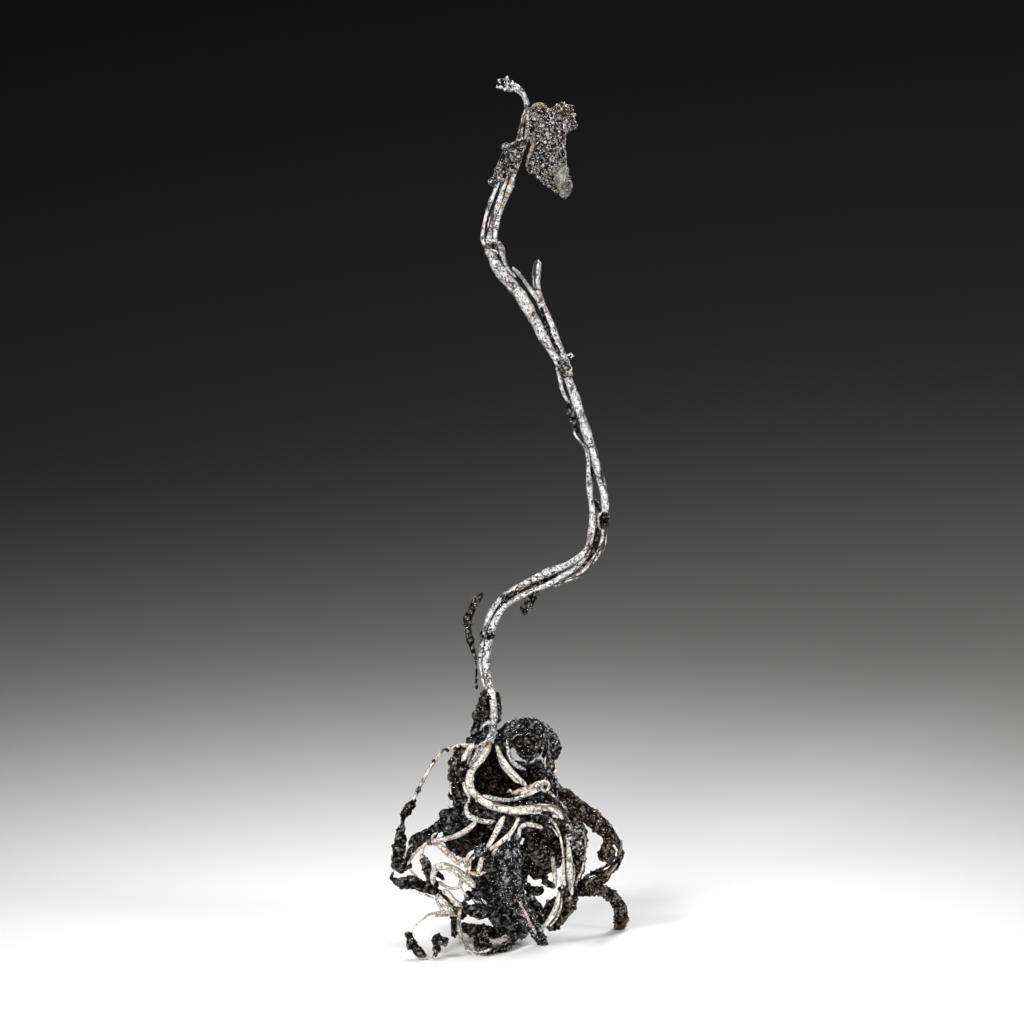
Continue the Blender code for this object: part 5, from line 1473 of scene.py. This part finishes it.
rightArm = {
    "node": "right_arm", "slot": "brown_crust", "knobbly": 0.3, "coarse": 0.5, "beads": 0.3,
    "sparkle": 1.4,
    "crust": [
        [(559, 791, 0, 4.6), (569, 800, 2, 6.2), (579, 810, 4, 7.4), (590, 819, 5, 8.8),
         (602, 829, 6, 8.8), (611, 838, 7, 6.8), (617, 845, 8, 4.4)],
        [(606, 838, 6, 4), (608, 845, 6, 4.2), (608, 854, 7, 8.2), (607.5, 862, 7, 4.6)]],
    "fill": [
        [(562, 791, 0, 5), (571, 800, 2, 6.2), (581, 810, 4, 7.6), (592, 819, 5, 8.8),
         (602, 828.5, 6, 8.6), (610, 836, 7, 6.8)],
        [(612, 838, 7, 5.5), (618, 845, 8, 4.2), (621, 852, 10, 3.2)],
        [(603, 852, 6, 4.6), (604, 858, 6, 6.4), (609, 860, 7, 5.8), (612, 864, 8, 2.8)]],
    "knobs": [(608, 855, 6, 8.4)],
    "warm": [(598, 818, -4, 9, 0.45), (590, 812, -4, 8, 0.45), (606, 832, -1, 8, 0.45),
             (613, 842, 3, 5, 0.4)],
}
makePiece(rightArm)

innerParallelWire = {
    "node": "inner_parallel_wire", "slot": "bright_silver",
    "silver": [
        [(550, 793, -14, 0.9), (552.5, 796, -15, 1.4), (556, 800, -16, 0.9)],
        [(561.5, 804, -17, 0.9), (564.5, 808, -18, 1.5), (567, 811, -18, 0.9)]],
}
makePiece(innerParallelWire)

rightInnerColumn = {
    "node": "right_inner_column", "slot": "black_crust", "silverLook": "cream_silver",
    "sparkle": 1.5,
    "crust": [
        [(573, 825, -8, 6.2), (574, 832, -8, 9.6), (576, 842, -8, 10.2), (577, 852, -8, 9.2),
         (580, 860, -6, 6.2), (581, 869, -4, 4.8), (579, 878, -2, 4.2), (576, 885, -1, 2.8)]],
    "fill": [
        [(560, 817, -8, 5.5), (564, 826, -8, 6.5), (567, 838, -7, 7), (568, 850, -6, 7),
         (569, 862, -5, 6), (570, 876, -4, 6.5), (570, 888, -4, 7)],
        [(574, 822, -6, 5), (577.5, 830, -6, 7.2), (578.5, 840, -6, 8), (579, 851, -6, 7.2),
         (581, 861, -5, 4.6), (580.5, 871, -3, 4.4), (577, 881, -2, 5)]],
    "knobs": [(573, 830, -16, 4.4), (579, 832, -14, 4.6), (575, 839, -17, 4.6),
              (581, 841, -12, 4.6), (578, 849, -14, 4.4), (574, 846, -16, 4)],
    "extras": [{
        "crustLook": "glitter_crust", "beads": 0.3, "sparkle": 1.4, "grains": 1.4, "coarse": 0.6,
        "knobs": [(569.5, 829, -24, 3.8), (574.5, 832, -22, 4.6), (579.5, 836, -18, 4.4),
                  (571.5, 838, -27, 3.8), (577, 843, -22, 4.8), (581.5, 847, -16, 4.2),
                  (574, 848, -25, 3.2), (579, 853, -19, 3.8), (582, 859, -14, 3.2)]}],
    "threads": [
        [(583, 833, -13, 0.9), (585.5, 842, -12, 1), (586, 853, -11, 1), (584.5, 863, -9, 1.1),
         (582.5, 872, -8, 1.2), (578, 882, -7, 1.2), (575, 891, -6, 1)],
        [(568, 820, -20, 0.9), (565, 814, -22, 0.9)],
        [(563, 806, -18, 1.3), (565.5, 809.5, -18, 1.3)]],
    "bare": [(577, 866, -10, 4), (575, 876, -10, 4)],
    "warm": [(586, 838, -12, 5), (584, 856, -10, 5)],
}
makePiece(rightInnerColumn)

innerSilverWire = {
    "node": "inner_silver_wire", "slot": "bright_silver", "silverLook": "cream_silver",
    "silver": [
        [(567, 838, -25, 1.3), (568.5, 846, -27, 2.2), (569.2, 855, -28, 3), (569.6, 866, -28, 3.3),
         (569.8, 877, -27, 3.3), (571, 887, -24, 2.9), (572, 895, -22, 2)],
        [(574, 868, -22, 0.9), (574.5, 876, -21, 1), (573.5, 884, -20, 0.9)]],
}
makePiece(innerSilverWire)

creamStrand = {
    "node": "cream_strand", "slot": "cream_silver",
    "silver": [
        [(551, 820, -33, 1), (556, 826, -33, 1.3), (560, 837, -34, 1.1), (562.5, 849, -34, 1),
         (563.5, 862, -34, 1.2), (564, 875, -33, 1.3), (565, 886, -31, 1.1)]],
    "warm": [(562, 850, -34, 9, 0.5), (563, 870, -34, 9, 0.5), (553, 872, -30, 6, 0.6)],
    "threads": [
        [(548, 820, -31, 0.9), (553, 823, -32, 1.1), (558, 828, -32, 0.9)],
        [(552.5, 829, -32, 0.8), (556, 833, -33, 1.1), (558, 838, -33, 0.7)],
        [(555, 858, -30, 0.8), (553, 866, -30, 1.2), (553.5, 875, -29, 1.3), (556, 884, -28, 1.1)],
        [(560, 878, -28, 0.8), (562, 884, -28, 1.2), (562, 891, -27, 0.9)]],
}
makePiece(creamStrand)

rightBridge = {
    "node": "right_bridge", "slot": "brown_crust",
    "silver": [
        [(553, 861, -18, 1.9), (554.5, 870, -18, 2.3), (555.5, 879, -18, 2.4),
         (554, 889, -17, 2.4)]],
    "crust": [
        [(541, 873, -17, 1.9), (544, 880, -19, 2.2), (548, 885, -19, 3), (553, 887, -18, 3.4)]],
    "fill": [
        [(540, 871, -17, 2.6), (543, 879, -19, 3), (548, 885, -19, 3.8), (554, 888, -18, 4)]],
}
makePiece(rightBridge)

leafLump = {
    "node": "leaf_lump", "slot": "black_crust", "silverLook": "copper_silver",
    "crust": [
        [(533, 893, -25, 3.4), (537, 893, -25, 5.8), (542, 892, -24, 3.8)]],
    "fill": [
        [(524, 888, -22, 4), (530, 891, -23, 4.6), (536, 893, -24, 5.4), (540, 889, -24, 4.4)],
        [(524, 897, -22, 5), (531, 903, -20, 5.6), (537, 910, -18, 5.4), (542, 917, -16, 4.6),
         (545, 925, -14, 4.4)]],
    "threads": [
        [(529.5, 896, -30, 1.3), (532, 899, -30, 1.6), (533, 902, -29, 1.2)]],
}
makePiece(leafLump)

lowerRightColumn = {
    "node": "lower_right_column", "slot": "brown_crust",
    "crust": [
        [(562, 892, -9, 4.8), (566, 899, -9, 7.2), (565, 908, -9, 7.8), (560, 917, -10, 7.8),
         (554, 925, -10, 6.4), (549, 930, -10, 4)],
        [(558, 903, -9, 3.4), (550, 908, -9, 4.2), (547, 916, -9, 4), (540, 925, -8, 3.2)]],
    "fill": [
        [(571, 886, -5, 7.6), (571, 896, -7, 8.2), (569, 905, -8, 9), (563, 915, -9, 8.6),
         (556, 924, -10, 7.6), (548, 931, -10, 6)],
        [(558, 900, -9, 4.6), (552, 909, -9, 5.2), (547, 917, -9, 5), (540, 927, -8, 5)]],
    "bare": [(568, 889, -14, 5), (571, 900, -14, 4)],
}
makePiece(lowerRightColumn)

silverStrip = {
    "node": "silver_strip", "slot": "cream_silver", "silverLook": "green_silver",
    "silver": [
        [(559, 896, -21, 2), (557.5, 906, -22, 2.6), (553.5, 916, -23, 2.8), (546.5, 926, -24, 2.4),
         (541, 932, -24, 1.8)]],
    "threads": [
        [(562, 900, -20, 1), (561, 910, -21, 1.1), (557, 920, -22, 1.1), (550, 929, -23, 1)]],
    "fill": [
        [(556, 912, -15, 5), (551, 921, -16, 5), (545, 928, -16, 4)]],
}
makePiece(silverStrip)

yellowGreenWire = {
    "node": "yellow_green_wire", "slot": "green_silver", "silverLook": "dull_green_silver",
    "crustLook": "brown_crust",
    "crust": [
        [(622, 850, 12, 1.9), (621, 860, 13, 2.2), (617, 869, 15, 2.2), (611, 877, 15, 2.4),
         (604, 883, 14, 4.8), (597, 885, 12, 3.2)]],
    "fill": [
        [(620.5, 850, 10, 3.2), (621, 860, 12, 3.5), (617, 868, 14, 3.9), (610.5, 874.5, 15, 4.4),
         (603.5, 879, 14, 5.2), (596, 883, 12, 5.4)],
        [(584, 888, 8, 5.5), (592, 886, 10, 6.4), (601, 885, 12, 6.4)]],
    "threads": [
        [(622.5, 842, 4, 1), (622, 850, 5, 1.1), (620, 858, 6, 0.8)],
        [(618.5, 866, 9, 0.9), (613.5, 873, 10, 1.3), (608, 878, 11, 1.2), (605.5, 879, 10, 0.9)],
        [(598, 879, 6, 0.8), (591, 883, 5, 1), (585, 888, 4, 0.8)]],
    "warm": [(619, 858, 8, 6), (611, 873, 10, 6), (600, 880, 8, 5)],
}
makePiece(yellowGreenWire)

thinBlackWire = {
    "node": "thin_black_wire", "slot": "black_crust",
    "crust": [
        [(579, 887, 5, 2), (589, 879, 11, 2.2), (599, 874, 18, 2.2), (608, 869, 22, 2.2),
         (615, 862, 24, 1.8)]],
}
makePiece(thinBlackWire)

rightTail = {
    "node": "right_tail", "slot": "brown_crust",
    "crust": [
        [(577, 896, 6, 4.8), (587, 893.5, 12, 6.9), (598, 893.5, 21, 6.6), (608, 897, 31, 6.3),
         (616, 904, 41, 6.4), (621, 913, 50, 6.8), (622.5, 922, 57, 7.2), (622, 930, 61, 6.6),
         (621, 937, 64, 5.4)]],
    "fill": [
        [(576, 892, 4, 6), (586, 890, 10, 7.2), (597, 891, 18, 7)],
        [(619, 906, 44, 6.4), (622.5, 916, 52, 7), (623, 925, 56, 7.2), (620.5, 932, 57, 5.6),
         (619, 937, 58, 4.4)]],
    "warm": [(625, 925, 53, 8, 0.8), (624, 932, 56, 9, 1), (618, 932, 57, 8, 1),
             (621, 928, 64, 9, 0.9), (620, 934, 66, 8, 1), (612, 902, 34, 6, 0.4),
             (596, 888, 14, 6, 0.4)],
}
makePiece(rightTail)

rearLeftCrust = {
    "node": "rear_left_crust", "slot": "black_crust", "crustLook": "shade_crust", "sparkle": 1.5,
    "crust": [
        [(446, 838, 6, 7), (455, 843, 9, 12.8), (469, 846, 12, 16), (484, 844, 14, 16),
         (498, 840, 16, 11.5), (506, 837, 17, 6.5)]],
    "fill": [
        [(455, 832, 2, 9), (466, 828, 2, 10), (480, 828, 4, 10), (494, 830, 6, 10),
         (506, 832, 8, 9)],
        [(462, 856, 8, 8), (474, 862, 8, 9), (486, 864, 8, 9)]],
}
makePiece(rearLeftCrust)

rearFootWire = {
    "node": "rear_foot_wire", "slot": "black_crust",
    "crust": [
        [(497, 756, 41, 4.5), (493, 775, 53, 5.6), (486, 795, 57, 6.2), (480, 818, 66, 6.5),
         (479, 842, 70, 6.5), (484, 867, 69, 6.2), (493, 890, 68, 6.2), (502, 911, 67, 6),
         (508, 928, 66, 6), (511, 940, 65, 6)]],
}
makePiece(rearFootWire)

rearRightWire = {
    "node": "rear_right_wire", "slot": "grey_crust",
    "crust": [
        [(537, 764, 36, 4.2), (545, 779, 43, 5.6), (550, 798, 53, 5.8), (547, 820, 60, 6),
         (538, 845, 62, 6), (527, 870, 58, 5.8), (519, 893, 48, 5.6), (514, 909, 34, 4.8),
         (511, 919, 23, 4)]],
}
makePiece(rearRightWire)

rearLeftWire = {
    "node": "rear_left_wire", "slot": "brown_crust",
    "crust": [
        [(467, 778, 22, 3.8), (463, 792, 28, 4.8), (460, 808, 33, 5.4), (460, 828, 37, 5.6),
         (464, 850, 38, 5.4), (475, 871, 35, 5.2), (490, 891, 31, 4.2)]],
}
makePiece(rearLeftWire)

rearCrossWire = {
    "node": "rear_cross_wire", "slot": "cream_silver",
    "silver": [
        [(462, 846, 82, 3.6), (474, 838, 84, 5), (492, 833, 86, 5.6), (512, 833, 84, 5.6),
         (533, 840, 75, 5.2), (545, 850, 72, 3.8)]],
}
makePiece(rearCrossWire)

rearTopWire = {
    "node": "rear_top_wire", "slot": "grey_crust",
    "crust": [
        [(500, 742, 19, 3.8), (508, 734, 27, 5), (522, 731, 32, 5.4), (537, 736, 37, 5.4),
         (546, 749, 42, 5.2), (549, 766, 46, 4.2)]],
}
makePiece(rearTopWire)

rearLowWire = {
    "node": "rear_low_wire", "slot": "black_crust",
    "crust": [
        [(472, 874, 45, 4.2), (474, 886, 53, 5.2), (480, 899, 58, 5.6), (488, 909, 60, 4.6)]],
}
makePiece(rearLowWire)

rearSideWire = {
    "node": "rear_side_wire", "slot": "brown_crust",
    "crust": [
        [(558, 803, 42, 4.2), (568, 813, 40, 5.2), (579, 827, 34, 5.6), (584, 842, 25, 5.2),
         (582, 854, 14, 4.4), (580, 862, 6, 3.4)]],
}
makePiece(rearSideWire)

rearLeftBranch = {
    "node": "rear_left_branch", "slot": "black_crust",
    "crust": [
        [(434, 838, 12, 4.4), (425, 842, 15, 5.2), (414, 849, 12, 4.6), (405, 858, 6, 3.4)]],
}
makePiece(rearLeftBranch)

rearMiddleWire = {
    "node": "rear_middle_wire", "slot": "bright_silver",
    "silver": [
        [(507, 792, 42, 4.4), (513, 806, 52, 5.4), (518, 823, 56, 5.6), (516, 842, 52, 5.4),
         (510, 862, 37, 4.4)]],
}
makePiece(rearMiddleWire)

print("pieces made")

# floor, light and camera
studio = {
    "floor": 6.0,                  # side of the floor in metres
    "floorColour": (0.90, 0.90, 0.905, 1),
    "airColour": (0.95, 0.97, 1.0, 1),
    "air": 0.003,                  # strength of the light from all round
    "lens": 300.0,
    "width": 0.1024,               # what the view spans at the specimen, in metres
    "look": (512, 512, 0),         # the point of the sheet in the middle of the view
}
lights = {     # place, what it points at, side, watts, opening in degrees, colour
    "key_light": ((-0.17, -0.24, 0.26), (0, -0.02, 0.03), 0.11, 0.082, 45, (1.0, 0.985, 0.965)),
    "front_light": ((-0.10, -0.42, 0.10), (0, 0, 0.065), 0.10, 0.070, 45, (1.0, 0.99, 0.98)),
    "side_light": ((0.26, -0.12, 0.14), (0, 0, 0.05), 0.10, 0.036, 45, (0.97, 0.98, 1.0)),
    "top_light": ((0.03, 0.02, 0.30), (0, -0.03, 0), 0.12, 0.047, 50, (1.0, 1.0, 1.0)),
    "back_light": ((0.12, 0.30, 0.20), (0, 0, 0.045), 0.10, 0.030, 32, (1.0, 1.0, 1.0)),
}

deselectAll()
bpy.ops.mesh.primitive_plane_add(size=studio["floor"], location=(0, 0, 0))
floor = bpy.context.view_layer.objects.active
floor.name = "floor"
floorPaint = bpy.data.materials.new("pale_floor")
floorPaint.use_nodes = True
floorShader = floorPaint.node_tree.nodes["Principled BSDF"]
floorShader.inputs["Base Color"].default_value = studio["floorColour"]
floorShader.inputs["Roughness"].default_value = 0.7
floor.data.materials.append(floorPaint)

world = bpy.data.worlds.new("soft_air")
bpy.context.scene.world = world
world.use_nodes = True
world.node_tree.nodes["Background"].inputs["Color"].default_value = studio["airColour"]
world.node_tree.nodes["Background"].inputs["Strength"].default_value = studio["air"]


def softLight(name, spot, aim, size, power, opening, colour):
    deselectAll()
    bpy.ops.object.light_add(type="AREA", location=spot)
    lamp = bpy.context.view_layer.objects.active
    lamp.name = name
    lamp.data.size = size
    lamp.data.energy = power
    lamp.data.spread = math.radians(opening)
    lamp.data.color = colour
    lamp.rotation_euler = (Vector(aim) - Vector(spot)).to_track_quat("-Z", "Y").to_euler()


for name, settings in lights.items():
    softLight(name, *settings)

deselectAll()
aimPoint = place(*studio["look"])
away = studio["width"] * studio["lens"] / 36      # the camera's sensor is 36 mm wide
towardsCamera = Vector((0, -math.cos(sheet["lean"]), math.sin(sheet["lean"])))
bpy.ops.object.camera_add(location=aimPoint + towardsCamera * away,
                          rotation=(math.pi / 2 - sheet["lean"], 0, 0))
camera = bpy.context.view_layer.objects.active
camera.name = "camera"
camera.data.lens = studio["lens"]
camera.data.clip_start = 0.01
camera.data.clip_end = 20
bpy.context.scene.camera = camera
bpy.context.scene.view_settings.view_transform = "Standard"
print("stage made")
